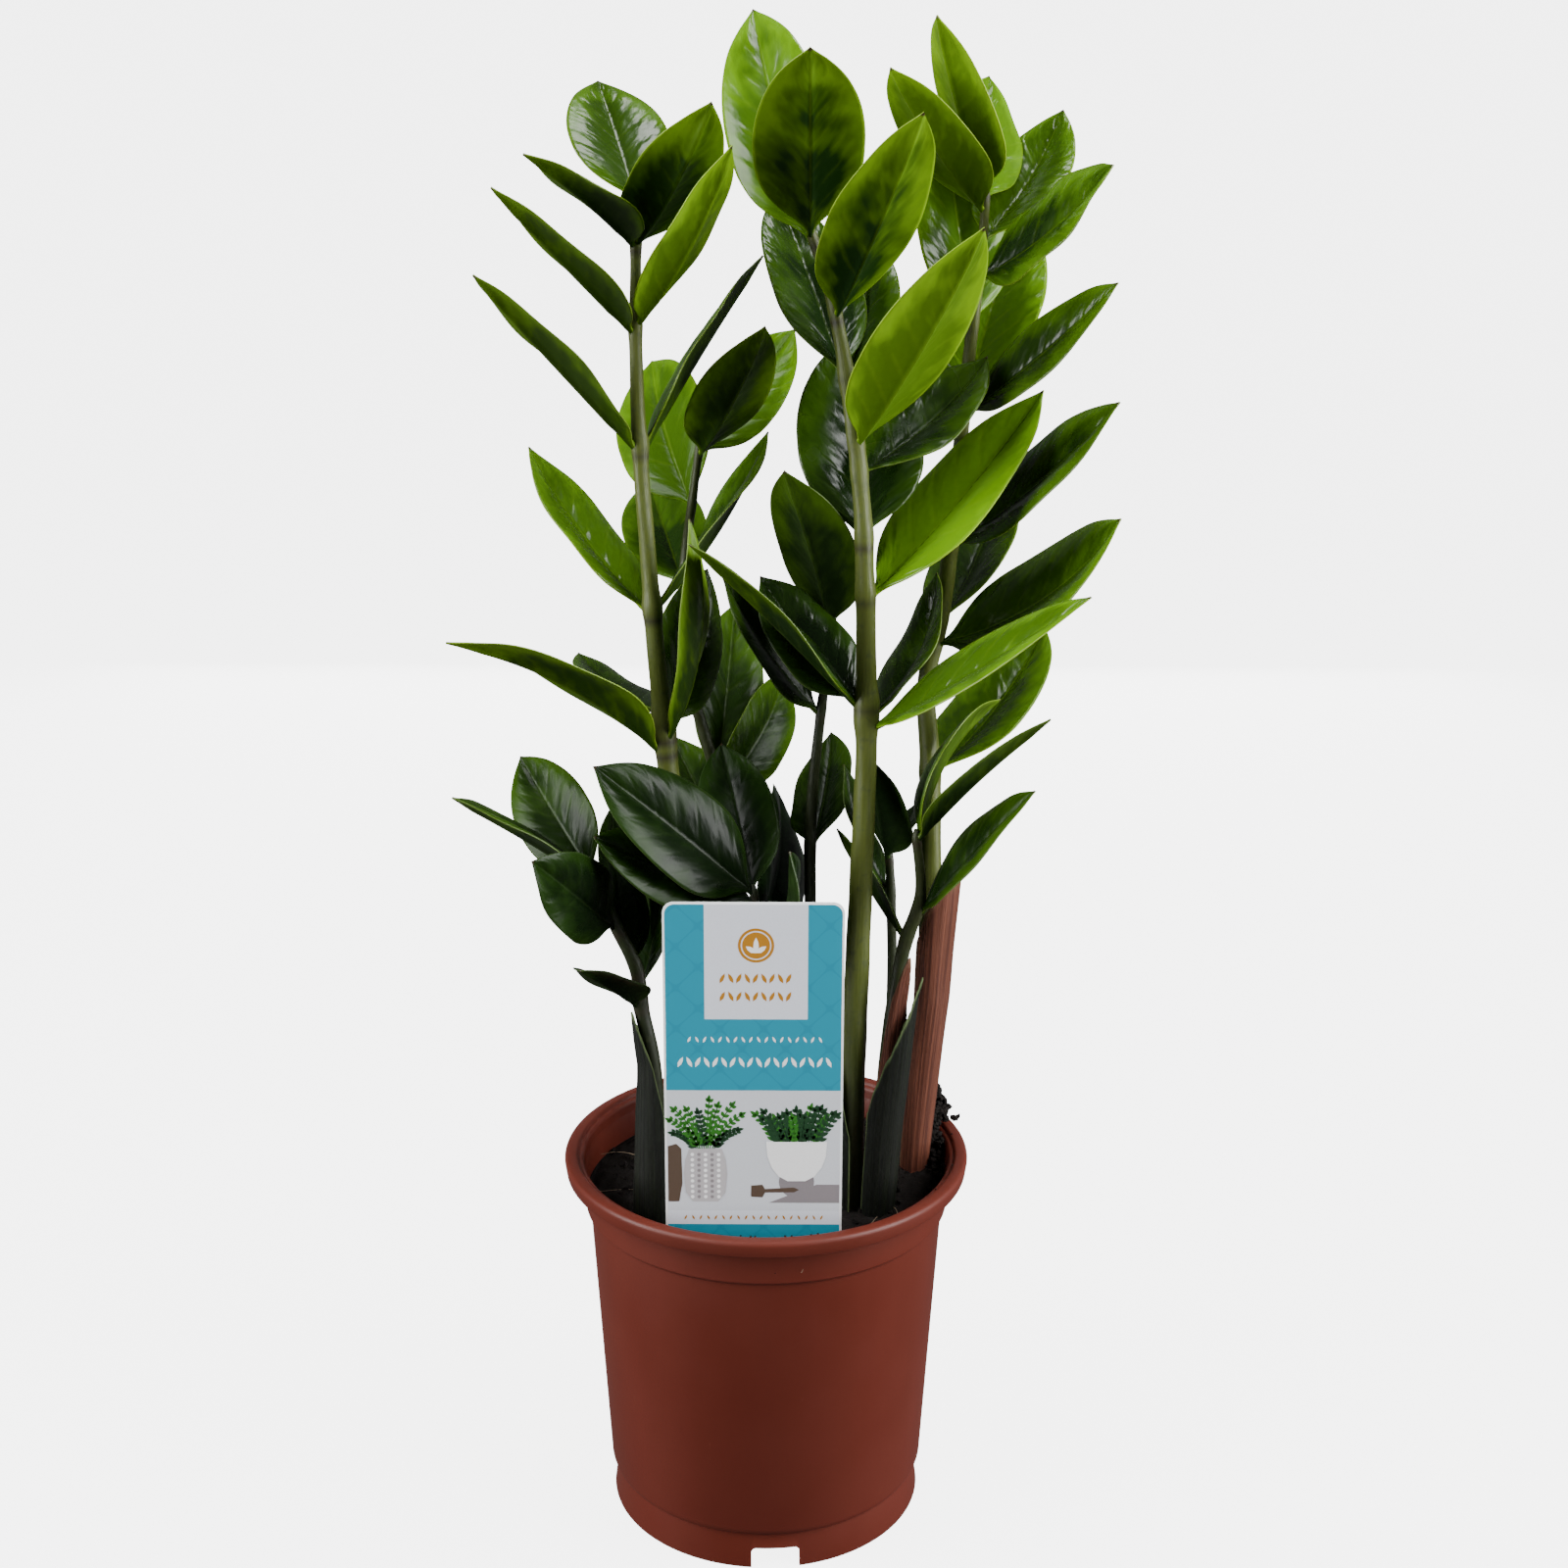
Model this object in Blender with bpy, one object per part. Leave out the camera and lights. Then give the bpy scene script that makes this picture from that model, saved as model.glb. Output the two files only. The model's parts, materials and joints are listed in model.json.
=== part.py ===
"""A potted ZZ plant: nine fronds with leaflets, their sheaths, a plant label, soil and a nursery pot."""

import math

import bmesh
import bpy
import numpy as np
from mathutils import Vector
from mathutils.bvhtree import BVHTree

MM = 0.001

# Pot: a thin moulded nursery pot with a turned-down lip, a shoulder and a raised foot.
POT_HEIGHT = 0.160
POT_RIM_RADIUS = 0.085
POT_WALL = 0.0014
LIP_WIDTH = 0.0075
LIP_HEIGHT = 0.007
SHOULDER_HEIGHT = 0.017
SHOULDER_STEP = 0.0035
BODY_TAPER = 0.007
FOOT_HEIGHT = 0.016
FOOT_STEP = 0.003
FOOT_FLARE = 0.002
FLOOR_RAISE = 0.010
DRAIN_RADIUS = 0.006
DRAIN_RING_RADIUS = 0.042
DRAIN_COUNT = 6
NOTCH_WIDTH = 0.020
NOTCH_HEIGHT = 0.0086
NOTCH_COUNT = 3
NOTCH_TURN = -86.0
SEGMENTS = 64

# Soil: its level below the rim, its height at the back right, and how far stems reach into it.
SOIL_DROP = 0.017
MOUND_HEIGHT = 0.014
STEM_DEPTH = 0.024

# Plant: height above the soil, and the length, width and thickness of a full-grown leaflet.
PLANT_HEIGHT = 0.470
LEAFLET_LENGTH = 0.100
LEAFLET_WIDTH = 0.040
LEAFLET_THICKNESS = 0.0014
LEAFLET_EDGE = 0.0005
LEAFLET_FOLD = 0.22
SHEATH_THICKNESS = 0.0009

# Label: a flat plastic tag pushed into the soil in front of the stems.
LABEL_WIDTH = 0.070
LABEL_HEIGHT = 0.170
LABEL_THICKNESS = 0.0008
LABEL_CORNER = 0.0045
LABEL_OFFSET = -0.0045
LABEL_DEPTH = 0.023

# The gap between any two pieces, and the wider one that leaflets keep from each other.
GAP = 0.0003
LEAF_GAP = 0.0005

# Where the pot's axis stands: the origin is on the ground under the middle of the whole spread.
STAND_X = -0.008
STAND_Y = -0.008

# Each stem's centreline: x, y, height above the soil and radius, in mm, for a plant of 470 mm.
STEMS = {
    "left": (
        (-24, -15, 0, 5.2), (-27, -15, 55, 5.4), (-29, -15, 110, 5.1), (-33, -15, 145, 4.8),
        (-38, -15, 180, 4.3), (-42, -15, 223, 3.6), (-45, -14, 265, 3.2), (-48, -14, 311, 2.9),
        (-49, -13, 355, 2.4), (-48, -12, 407, 1.6),
    ),
    "center": (
        (35, -20, 0, 5.2), (36, -20, 86, 5.1), (38, -20, 145, 4.6), (39, -20, 205, 4.1),
        (38, -20, 259, 3.7), (36, -19, 295, 3.3), (31, -18, 334, 2.9), (25, -17, 366, 2.3),
        (15, -16, 397, 1.5),
    ),
    "right": (
        (62, 6, 0, 5.0), (67, 10, 82, 4.8), (68, 14, 134, 4.4), (67, 18, 177, 4.2),
        (65, 21, 216, 3.7), (71, 22, 247, 3.4), (75, 23, 295, 3.0), (79, 25, 345, 2.5),
        (83, 27, 385, 1.8), (84, 28, 411, 1.4),
    ),
    "rear": (
        (-10, 24, 0, 3.4), (-14, 26, 95, 3.2), (-17, 27, 155, 2.6), (-26, 28, 190, 2.3),
        (-33, 28, 215, 2.2), (-34, 28, 255, 2.0), (-29, 28, 295, 1.6), (-26, 28, 317, 1.3),
    ),
    "thin": (
        (14, 8, 0, 2.8), (18, 8, 85, 2.5), (19, 8, 177, 2.2), (22, 8, 207, 1.9), (27, 8, 245, 1.3),
    ),
    "middle": ((0, -20, 0, 2.6), (-2, -20, 75, 2.3), (-5, -20, 141, 1.5)),
    "slim": ((48, 2, 0, 2.4), (52, 4, 95, 2.0), (51, 5, 131, 1.9), (50, 6, 149, 1.5)),
    "front": (
        (46, -24, 0, 3.2), (52, -23, 95, 2.9), (56, -22, 118, 2.6), (61, -22, 134, 2.3),
        (59, -22, 165, 1.6),
    ),
    "edge": (
        (-45, -24, 0, 3.4), (-46, -23, 65, 3.2), (-51, -22, 93, 2.9), (-52, -22, 105, 2.6),
        (-60, -22, 124, 2.2), (-69, -22, 148, 1.4),
    ),
}
PLANT_SCALE = PLANT_HEIGHT / 0.470
# The stems whose leaflets are pieces of their own; a short shoot is one piece with its leaflets.
TALL = ("left", "center", "right")

# Leaflets, stem by stem: name, height on the stem (mm), heading and rise of the line from base
# to tip (degrees; 0 heads to +X, 90 to the back), length and width (mm, for a full-grown
# leaflet of 100 x 40), roll about that line, arch along it and twist (degrees).
LEAFLETS = {
    "left": (
        ("leaf_tip", 405, 110, 41, 64, 39, 0, 6, 0),
        ("leaf_01", 389, -122, 27, 70, 34, -12, 12, 0),
        ("leaf_02", 390, -58, 42, 72, 32, -12, -24, 0),
        ("leaf_03", 358, -131, 38, 84, 34, -12, 0, 0),
        ("leaf_04", 361, -53, 47, 86, 32, 18, -18, 0),
        ("leaf_05", 315, -134, 42, 98, 32, -12, 0, 20),
        ("leaf_06", 315, 46, 47, 92, 36, -36, 6, 0),
        ("leaf_07", 251, 141, 43, 84, 38, 12, -18, 0),
        ("leaf_08", 253, 47, 45, 86, 30, -36, -18, 40),
        ("leaf_09", 197, -144, 31, 104, 38, 12, 30, 0),
        ("leaf_10", 203, -56, 80, 88, 28, 36, -42, 0),
        ("leaf_11", 210, 124, 10, 64, 30, 18, -24, 0),
        ("leaf_12", 205, 73, 47, 72, 35, 60, -12, 0),
    ),
    "center": (
        ("leaf_01", 392, 113, 56, 98, 40, -42, 24, 0),
        ("leaf_02", 394, -91, 44, 88, 40, 6, 6, 0),
        ("leaf_03", 365, -65, 48, 94, 37, 0, -6, 0),
        ("leaf_04", 318, -52, 51, 102, 42, -4, -12, 0),
        ("leaf_05", 259, 27, 45, 104, 42, 12, -12, 0),
        ("leaf_06", 207, -28, 35, 104, 35, 24, -6, 0),
        ("leaf_07", 216, -162, 45, 93, 36, -6, 6, 30),
        ("leaf_08", 343, 115, 47, 86, 37, 0, 6, 0),
        ("leaf_09", 339, 76, 48, 66, 30, 0, -6, 0),
        ("leaf_10", 281, 93, 54, 88, 50, 6, 0, 0),
        ("leaf_11", 210, 53, 49, 66, 33, -30, -48, 0),
        ("leaf_12", 306, 35, 34, 70, 38, 12, -30, 0),
        ("leaf_13", 217, 153, 47, 61, 32, -30, -24, 0),
    ),
    "right": (
        ("leaf_tip", 411, -120, 54, 74, 38, -30, -6, 0),
        ("leaf_01", 401, -136, 44, 72, 33, 6, -12, 0),
        ("leaf_02", 405, 85, 47, 62, 32, 36, -12, 0),
        ("leaf_03", 390, 46, 46, 66, 37, 8, -30, 0),
        ("leaf_04", 375, -49, 34, 76, 38, 54, -24, 0),
        ("leaf_05", 357, 107, 65, 86, 40, 5, 6, 0),
        ("leaf_06", 329, 68, 44, 94, 44, 0, 12, 0),
        ("leaf_07", 324, -39, 39, 82, 30, 54, -12, 0),
        ("leaf_08", 272, -37, 41, 92, 40, 42, -18, 0),
        ("leaf_09", 231, -29, 38, 92, 49, 36, -48, 0),
        ("leaf_10", 240, 67, 35, 84, 42, -24, -30, 0),
        ("leaf_11", 177, 51, 31, 92, 42, -6, -30, 0),
    ),
    "rear": (
        ("a", 307, -57, 48, 70, 32, -6, -18, 0),
        ("b", 286, 106, 36, 84, 42, -42, 30, 0),
        ("c", 253, 104, 23, 78, 35, -18, 12, 0),
        ("d", 307, 52, 36, 74, 30, 42, -18, 0),
        ("f", 171, 84, 47, 84, 32, 30, 6, 0),
        ("g", 167, 58, 39, 60, 30, 72, 42, 0),
        ("h", 146, 114, 25, 66, 32, -6, -18, 0),
    ),
    "thin": (
        ("a", 242, -125, 63, 72, 38, 0, 12, 0),
        ("c", 206, -169, 56, 66, 33, -30, -18, 0),
        ("d", 148, 81, 33, 62, 30, -30, -18, 0),
    ),
    "middle": (
        ("a", 141, -167, 42, 82, 40, -54, 6, 0),
        ("b", 135, -163, 27, 70, 33, -54, -12, 0),
        ("c", 119, 85, 29, 84, 45, 72, 30, 0),
        ("d", 105, -64, 66, 64, 36, -114, 36, 0),
        ("e", 140, 107, 46, 66, 32, -12, 12, 0),
    ),
    "slim": (
        ("a", 146, -112, 66, 50, 31, -30, 0, 0),
        ("b", 147, 71, 12, 40, 18, -36, -12, 0),
        ("c", 130, 139, 65, 54, 26, 24, -30, 0),
    ),
    "front": (
        ("a", 165, -26, 46, 74, 30, -6, 12, 0),
        ("b", 132, -29, 51, 72, 30, 30, 6, 0),
        ("c", 165, 40, 48, 64, 38, -42, 48, 0),
        ("d", 120, 124, 35, 56, 22, 60, -6, 0),
    ),
    "edge": (
        ("a", 148, 127, 34, 64, 32, -48, 12, 0),
        ("b", 145, -154, 36, 68, 28, 0, 6, 0),
        ("c", 125, -125, 41, 60, 32, -90, 6, 0),
        ("d", 92, -122, 36, 44, 28, 6, 12, 0),
        ("e", 107, 103, 46, 72, 28, 42, -18, 0),
        ("f", 97, 80, 45, 66, 28, -42, -18, 0),
    ),
}

# Sheaths: stem, bottom and top above the soil (mm), heading, half angle (degrees), radius at
# the bottom and top (mm), how far the top leans out (mm), then the top edge: how much lower its
# ends are (share of the height), how sharply it falls and where across its peak is (-1 to 1).
SHEATHS = {
    "sheath_right": ("right", 4, 136, -40, 105, 6.6, 9.0, 4.0, 0.22, 3.0, 0.3),
    "sheath_front": ("front", 4, 114, -75, 70, 4.6, 5.6, 2.0, 0.50, 1.6, 0.0),
    "sheath_fold": ("front", 4, 104, -75, 85, 6.9, 8.6, 2.0, 0.60, 1.2, 0.8),
    "sheath_center": ("center", 4, 66, -160, 65, 6.6, 7.8, 1.5, 0.55, 1.6, 0.0),
    "sheath_edge": ("edge", 4, 88, -150, 100, 9.5, 4.4, 0.0, 0.55, 1.6, 0.0),
}

COLORS = {
    "pot": (0.216, 0.045, 0.027, 0.42),
    "soil": (0.012, 0.009, 0.007, 0.95),
    "label": (0.038, 0.377, 0.485, 0.38),
    "stem": (0.165, 0.195, 0.050, 0.45),
    "leaf": (0.060, 0.150, 0.012, 0.28),
    "shoot": (0.014, 0.030, 0.010, 0.30),
    "sheath_brown": (0.180, 0.062, 0.035, 0.60),
    "sheath_dark": (0.030, 0.030, 0.018, 0.50),
}

SHOULDER_RADIUS = POT_RIM_RADIUS - LIP_WIDTH
BODY_RADIUS = SHOULDER_RADIUS - SHOULDER_STEP
BASE_RADIUS = BODY_RADIUS - BODY_TAPER
FOOT_RADIUS = BASE_RADIUS - FOOT_STEP
SOIL_LEVEL = POT_HEIGHT - SOIL_DROP
FLOOR_TOP = FLOOR_RAISE + POT_WALL
# Inside of the pot from the floor to the rim: radius and height.
INSIDE = (
    (BASE_RADIUS - POT_WALL - 0.003, FLOOR_TOP),
    (BASE_RADIUS - POT_WALL, FLOOR_TOP + 0.007),
    (BODY_RADIUS - POT_WALL, POT_HEIGHT - LIP_HEIGHT - SHOULDER_HEIGHT),
    (SHOULDER_RADIUS - POT_WALL, POT_HEIGHT - LIP_HEIGHT - SHOULDER_HEIGHT + 0.005),
    (SHOULDER_RADIUS - POT_WALL, POT_HEIGHT - LIP_HEIGHT - 0.001),
    (POT_RIM_RADIUS - 0.0058, POT_HEIGHT - 0.0010),
    (POT_RIM_RADIUS - 0.0050, POT_HEIGHT),
)
SOIL_RADIUS = SHOULDER_RADIUS - POT_WALL
SPREAD = SOIL_RADIUS / 0.0761


def clear_scene():
    for obj in list(bpy.data.objects):
        bpy.data.objects.remove(obj, do_unlink=True)


def material(key):
    """A Principled material with the piece's colour and roughness, made once."""
    mat = bpy.data.materials.get(key)
    if mat:
        return mat
    red, green, blue, rough = COLORS[key]
    mat = bpy.data.materials.new(key)
    mat.use_nodes = True
    shader = mat.node_tree.nodes["Principled BSDF"]
    shader.inputs["Base Color"].default_value = (red, green, blue, 1.0)
    shader.inputs["Roughness"].default_value = rough
    mat.diffuse_color = (red, green, blue, 1.0)
    return mat


def add_object(name, bm, key, helper=False):
    bmesh.ops.recalc_face_normals(bm, faces=bm.faces)
    mesh = bpy.data.meshes.new(name)
    bm.to_mesh(mesh)
    bm.free()
    obj = bpy.data.objects.new(name, mesh)
    bpy.context.scene.collection.objects.link(obj)
    mesh.materials.append(material(key))
    if helper:
        obj.hide_render = True
        obj.display_type = "WIRE"
    return obj


def boolean(obj, other, operation):
    mod = obj.modifiers.new(operation.lower(), "BOOLEAN")
    mod.operation = operation
    mod.solver = "EXACT"
    mod.object = other
    mod.use_self = operation == "UNION"


def join_rings(bm, rings, close_start=True, close_end=True):
    """Skin a list of equal rings of vertices, with a face on each end that is closed."""
    for ring, following in zip(rings, rings[1:]):
        count = len(ring)
        for i in range(count):
            j = (i + 1) % count
            bm.faces.new((ring[i], ring[j], following[j], following[i]))
    if close_start:
        bm.faces.new(rings[0][::-1])
    if close_end:
        bm.faces.new(rings[-1])


def revolve(bm, profile, segments=SEGMENTS):
    """Turn a closed profile of (radius, height) about Z into a ring-shaped solid."""
    rings = []
    for i in range(segments):
        angle = 2 * math.pi * i / segments
        cos, sin = math.cos(angle), math.sin(angle)
        rings.append([bm.verts.new((r * cos, r * sin, z)) for r, z in profile])
    rings.append(rings[0])
    join_rings(bm, rings, close_start=False, close_end=False)


def make_pot():
    lip_bottom = POT_HEIGHT - LIP_HEIGHT
    shoulder_bottom = lip_bottom - SHOULDER_HEIGHT
    outside = [
        (DRAIN_RADIUS, FLOOR_RAISE),
        (FOOT_RADIUS - POT_WALL, FLOOR_RAISE),
        (FOOT_RADIUS + FOOT_FLARE - POT_WALL, 0.0),
        (FOOT_RADIUS + FOOT_FLARE, 0.0),
        (FOOT_RADIUS, FOOT_HEIGHT - 0.001),
        (FOOT_RADIUS + 0.0006, FOOT_HEIGHT),
        (BASE_RADIUS - 0.0010, FOOT_HEIGHT + 0.0004),
        (BASE_RADIUS, FOOT_HEIGHT + 0.0030),
        (BODY_RADIUS, shoulder_bottom),
        (SHOULDER_RADIUS, shoulder_bottom + 0.005),
        (SHOULDER_RADIUS, POT_HEIGHT - POT_WALL - 0.0012),
        (SHOULDER_RADIUS + 0.0012, POT_HEIGHT - POT_WALL),
        (POT_RIM_RADIUS - POT_WALL - 0.0005, POT_HEIGHT - POT_WALL),
        (POT_RIM_RADIUS - POT_WALL - 0.0005, lip_bottom),
        (POT_RIM_RADIUS - 0.0008, lip_bottom),
        (POT_RIM_RADIUS, POT_HEIGHT - 0.0016),
        (POT_RIM_RADIUS - 0.0005, POT_HEIGHT - 0.0004),
        (POT_RIM_RADIUS - 0.0015, POT_HEIGHT),
    ]
    inside = list(INSIDE[::-1]) + [(DRAIN_RADIUS, FLOOR_TOP)]
    bm = bmesh.new()
    revolve(bm, outside + inside)
    pot = add_object("pot", bm, "pot")

    bm = bmesh.new()
    for i in range(NOTCH_COUNT):
        angle = math.radians(NOTCH_TURN) + 2 * math.pi * i / NOTCH_COUNT
        half, top, corner = NOTCH_WIDTH / 2, NOTCH_HEIGHT, 0.002
        outline = ((-half, -0.01), (half, -0.01), (half, top - corner), (half - 0.3 * corner,
                   top - 0.3 * corner), (half - corner, top), (corner - half, top),
                   (0.3 * corner - half, top - 0.3 * corner), (-half, top - corner))
        rings = []
        for reach in (FOOT_RADIUS - 0.012, FOOT_RADIUS + 0.012):
            ring = []
            for across, height in outline:
                x = reach * math.cos(angle) - across * math.sin(angle)
                y = reach * math.sin(angle) + across * math.cos(angle)
                ring.append(bm.verts.new((x, y, height)))
            rings.append(ring)
        join_rings(bm, rings)
    for i in range(DRAIN_COUNT):
        angle = 2 * math.pi * (i + 0.5) / DRAIN_COUNT
        x, y = DRAIN_RING_RADIUS * math.cos(angle), DRAIN_RING_RADIUS * math.sin(angle)
        rings = []
        for z in (FLOOR_RAISE - 0.004, FLOOR_TOP + 0.004):
            rings.append([
                bm.verts.new((x + DRAIN_RADIUS * math.cos(t), y + DRAIN_RADIUS * math.sin(t), z))
                for t in np.linspace(0, 2 * math.pi, 13)[:-1]
            ])
        join_rings(bm, rings)
    cutter = add_object("pot_cutter", bm, "pot", helper=True)
    boolean(pot, cutter, "DIFFERENCE")
    return pot


def mound(x, y):
    """Height of the soil above its level: heaped at the back right, lower at the front left."""
    radius = SOIL_RADIUS
    heap = math.exp(-((x - 0.62 * radius) ** 2 + (y - 0.30 * radius) ** 2) / (0.45 * radius) ** 2)
    dip = math.exp(-((x + 0.62 * radius) ** 2 + (y + 0.45 * radius) ** 2) / (0.50 * radius) ** 2)
    return MOUND_HEIGHT * (0.75 * heap - 0.30 * dip)


def inside_radius(z):
    heights = [p[1] for p in INSIDE]
    radii = [p[0] for p in INSIDE]
    return float(np.interp(z, heights, radii))


def make_soil():
    bm = bmesh.new()
    angles = [2 * math.pi * i / SEGMENTS for i in range(SEGMENTS)]
    bottom = FLOOR_TOP + GAP
    foot, wall = INSIDE[0][0] - GAP, INSIDE[1][0] - GAP
    step = POT_HEIGHT - LIP_HEIGHT - SHOULDER_HEIGHT
    rings = [[] for _ in range(10)]
    for a in angles:
        cos, sin = math.cos(a), math.sin(a)
        edge_height = SOIL_LEVEL + mound(SOIL_RADIUS * cos, SOIL_RADIUS * sin) - 0.002
        edge = inside_radius(edge_height) - GAP
        below = min(step, edge_height - 0.001)
        spots = [(0.3 * foot, bottom), (foot, bottom), (wall, INSIDE[1][1]),
                 (inside_radius(below) - GAP, below), (edge, edge_height)]
        for share in (0.88, 0.72, 0.55, 0.36, 0.16):
            top = SOIL_LEVEL + mound(edge * share * cos, edge * share * sin) - 0.002 * share ** 6
            spots.append((edge * share, top))
        for ring, (r, z) in zip(rings, spots):
            ring.append(bm.verts.new((r * cos, r * sin, z)))
    join_rings(bm, rings)
    soil = add_object("soil", bm, "soil")
    return soil


def stem_frame(name):
    """The stem's stations as rows of x, y, z and radius in metres, its lowest below the soil."""
    rows = np.array(STEMS[name], float) * MM
    shift = rows[0, :2] * (SPREAD - 1)
    rows[:, :2] += shift
    rows[:, 2] = rows[:, 2] * PLANT_SCALE + SOIL_LEVEL
    foot = rows[0].copy()
    foot[2] = SOIL_LEVEL - STEM_DEPTH
    foot[:2] += (rows[0, :2] - rows[1, :2]) * 0.3
    return np.vstack([foot, rows])


def stem_at(name, height):
    """Centre and radius of a stem at a height above the soil, in mm for a 470 mm plant."""
    rows = stem_frame(name)
    z = height * MM * PLANT_SCALE + SOIL_LEVEL
    return np.array([np.interp(z, rows[:, 2], rows[:, i]) for i in range(4)])


def tube(bm, rows, grow=0.0, sides=10, first=None, last=None):
    """A round bar through the stations, with its ends closed."""
    rings = []
    rows = [[float(value) for value in row] for row in rows]
    for i, (x, y, z, radius) in enumerate(rows):
        ahead, behind = rows[min(i + 1, len(rows) - 1)], rows[max(i - 1, 0)]
        along = (Vector(ahead[:3]) - Vector(behind[:3])).normalized()
        side = Vector((1, 0, 0)).cross(along).normalized()
        other = along.cross(side)
        ring = []
        for k in range(sides):
            angle = 2 * math.pi * (k + 0.5) / sides
            spot = Vector((x, y, z)) + (radius + grow) * (
                math.cos(angle) * side + math.sin(angle) * other)
            ring.append(bm.verts.new(spot))
        rings.append(ring)
    join_rings(bm, rings)


# Half width of a leaflet along its length, as shares: narrow stalk, broad middle, pointed tip.
LEAF_STATIONS = (0.0, 0.05, 0.13, 0.26, 0.42, 0.58, 0.73, 0.86, 0.95)
LEAF_WIDTHS = (0.06, 0.30, 0.66, 0.92, 1.0, 0.94, 0.76, 0.46, 0.16)


def leaf_axes(azimuth, rise, roll):
    az, up, turn = math.radians(azimuth), math.radians(rise), math.radians(roll)
    out = np.array((math.cos(az), math.sin(az), 0.0))
    vertical = np.array((0.0, 0.0, 1.0))
    along = out * math.cos(up) + vertical * math.sin(up)
    face = -out * math.sin(up) + vertical * math.cos(up)
    side = np.cross(along, face)
    turned = face * math.cos(turn) + side * math.sin(turn)
    side = side * math.cos(turn) - face * math.sin(turn)
    return out, along, turned, side


def leaf_points(stem, row, sunk=False, grow=0.0):
    """The leaflet's rings of six points and its tip: left, middle and right, above and below."""
    _, height, azimuth, rise, length, width, roll, arch, twist = row
    height = min(height, STEMS[stem][-1][2] - 2)
    centre = stem_at(stem, height)
    out, along, face, side = leaf_axes(azimuth, rise, roll)
    base = centre[:3] + out * (centre[3] + GAP + 0.0006)
    length = length / 100 * LEAFLET_LENGTH
    half = width / 40 * LEAFLET_WIDTH / 2
    bend, turn = math.radians(arch), math.radians(twist)
    rings = []
    for share, wide in list(zip(LEAF_STATIONS, LEAF_WIDTHS)) + [(1.0, 0.0)]:
        if abs(bend) < 0.001:
            ahead, lift, lean = share * length, 0.0, 0.0
        else:
            radius = length / (2 * math.sin(bend / 2))
            lean = bend * (0.5 - share)
            ahead = length / 2 - radius * math.sin(lean)
            lift = radius * (math.cos(lean) - math.cos(bend / 2))
        local = face * math.cos(lean) - along * math.sin(lean)
        turned = turn * (share - 0.4)
        normal = local * math.cos(turned) + side * math.sin(turned)
        across = side * math.cos(turned) - local * math.sin(turned)
        middle = base + along * ahead + face * lift
        if wide == 0.0:
            rings.append([middle + along * grow])
            break
        reach = half * wide
        thick = LEAFLET_THICKNESS / 2 * (1 - 0.45 * share) + grow
        thin = LEAFLET_EDGE / 2 + grow
        fold = normal * (reach * LEAFLET_FOLD)
        left, right = -across * (reach + grow) + fold, across * (reach + grow) + fold
        rings.append([
            middle + left + normal * thin, middle + normal * thick, middle + right + normal * thin,
            middle + right - normal * thin, middle - normal * thick, middle + left - normal * thin,
        ])
    if sunk:
        rings.insert(0, [p - out * (centre[3] + GAP + 0.0006) for p in rings[0]])
    return rings


def leaf_mesh(bm, rings):
    made = [[bm.verts.new(p) for p in ring] for ring in rings]
    join_rings(bm, made[:-1], close_end=False)
    last, tip = made[-2], made[-1][0]
    for i in range(6):
        bm.faces.new((last[i], last[(i + 1) % 6], tip))


def tree_of(bm):
    bm.normal_update()
    bmesh.ops.triangulate(bm, faces=bm.faces)
    spots = [v.co for v in bm.verts]
    box = (np.min([tuple(s) for s in spots], axis=0), np.max([tuple(s) for s in spots], axis=0))
    tree = BVHTree.FromBMesh(bm)
    bm.free()
    return tree, box


def leaf_tree(stem, row, grow):
    bm = bmesh.new()
    leaf_mesh(bm, leaf_points(stem, row, grow=grow))
    return tree_of(bm)


def touches(first, second):
    if (first[1][0] > second[1][1]).any() or (second[1][0] > first[1][1]).any():
        return False
    return bool(first[0].overlap(second[0]))


# How a leaflet may give way to the ones around it, in degrees: least turn first.
GIVE = sorted(
    (
        (a, b, c)
        for a in range(-32, 33, 4)
        for b in range(-24, 25, 4)
        for c in range(-60, 61, 12)
    ),
    key=lambda t: (abs(t[0]) / 4 + abs(t[1]) / 4 + abs(t[2]) / 14, t),
)


def part_leaflets(obstacles):
    """Turn each leaflet the least that keeps it clear of the stems and the leaflets before it."""
    placed = {}
    for stem in STEMS:
        rest = [tree for name, tree in obstacles.items() if name != stem]
        for row in LEAFLETS[stem]:
            for turn_az, turn_rise, turn_roll in GIVE:
                tried = (row[0], row[1], row[2] + turn_az, row[3] + turn_rise, row[4], row[5],
                         row[6] + turn_roll, row[7], row[8])
                plain = leaf_tree(stem, tried, 0.0)
                wide = leaf_tree(stem, tried, LEAF_GAP)
                if touches(plain, obstacles[stem]):
                    continue
                if not any(touches(wide, other) for other in rest):
                    break
            else:
                print("no room for", stem, row[0])
            placed[stem, row[0]] = tried
            obstacles[stem + row[0]] = plain
            rest.append(plain)
    return placed


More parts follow.
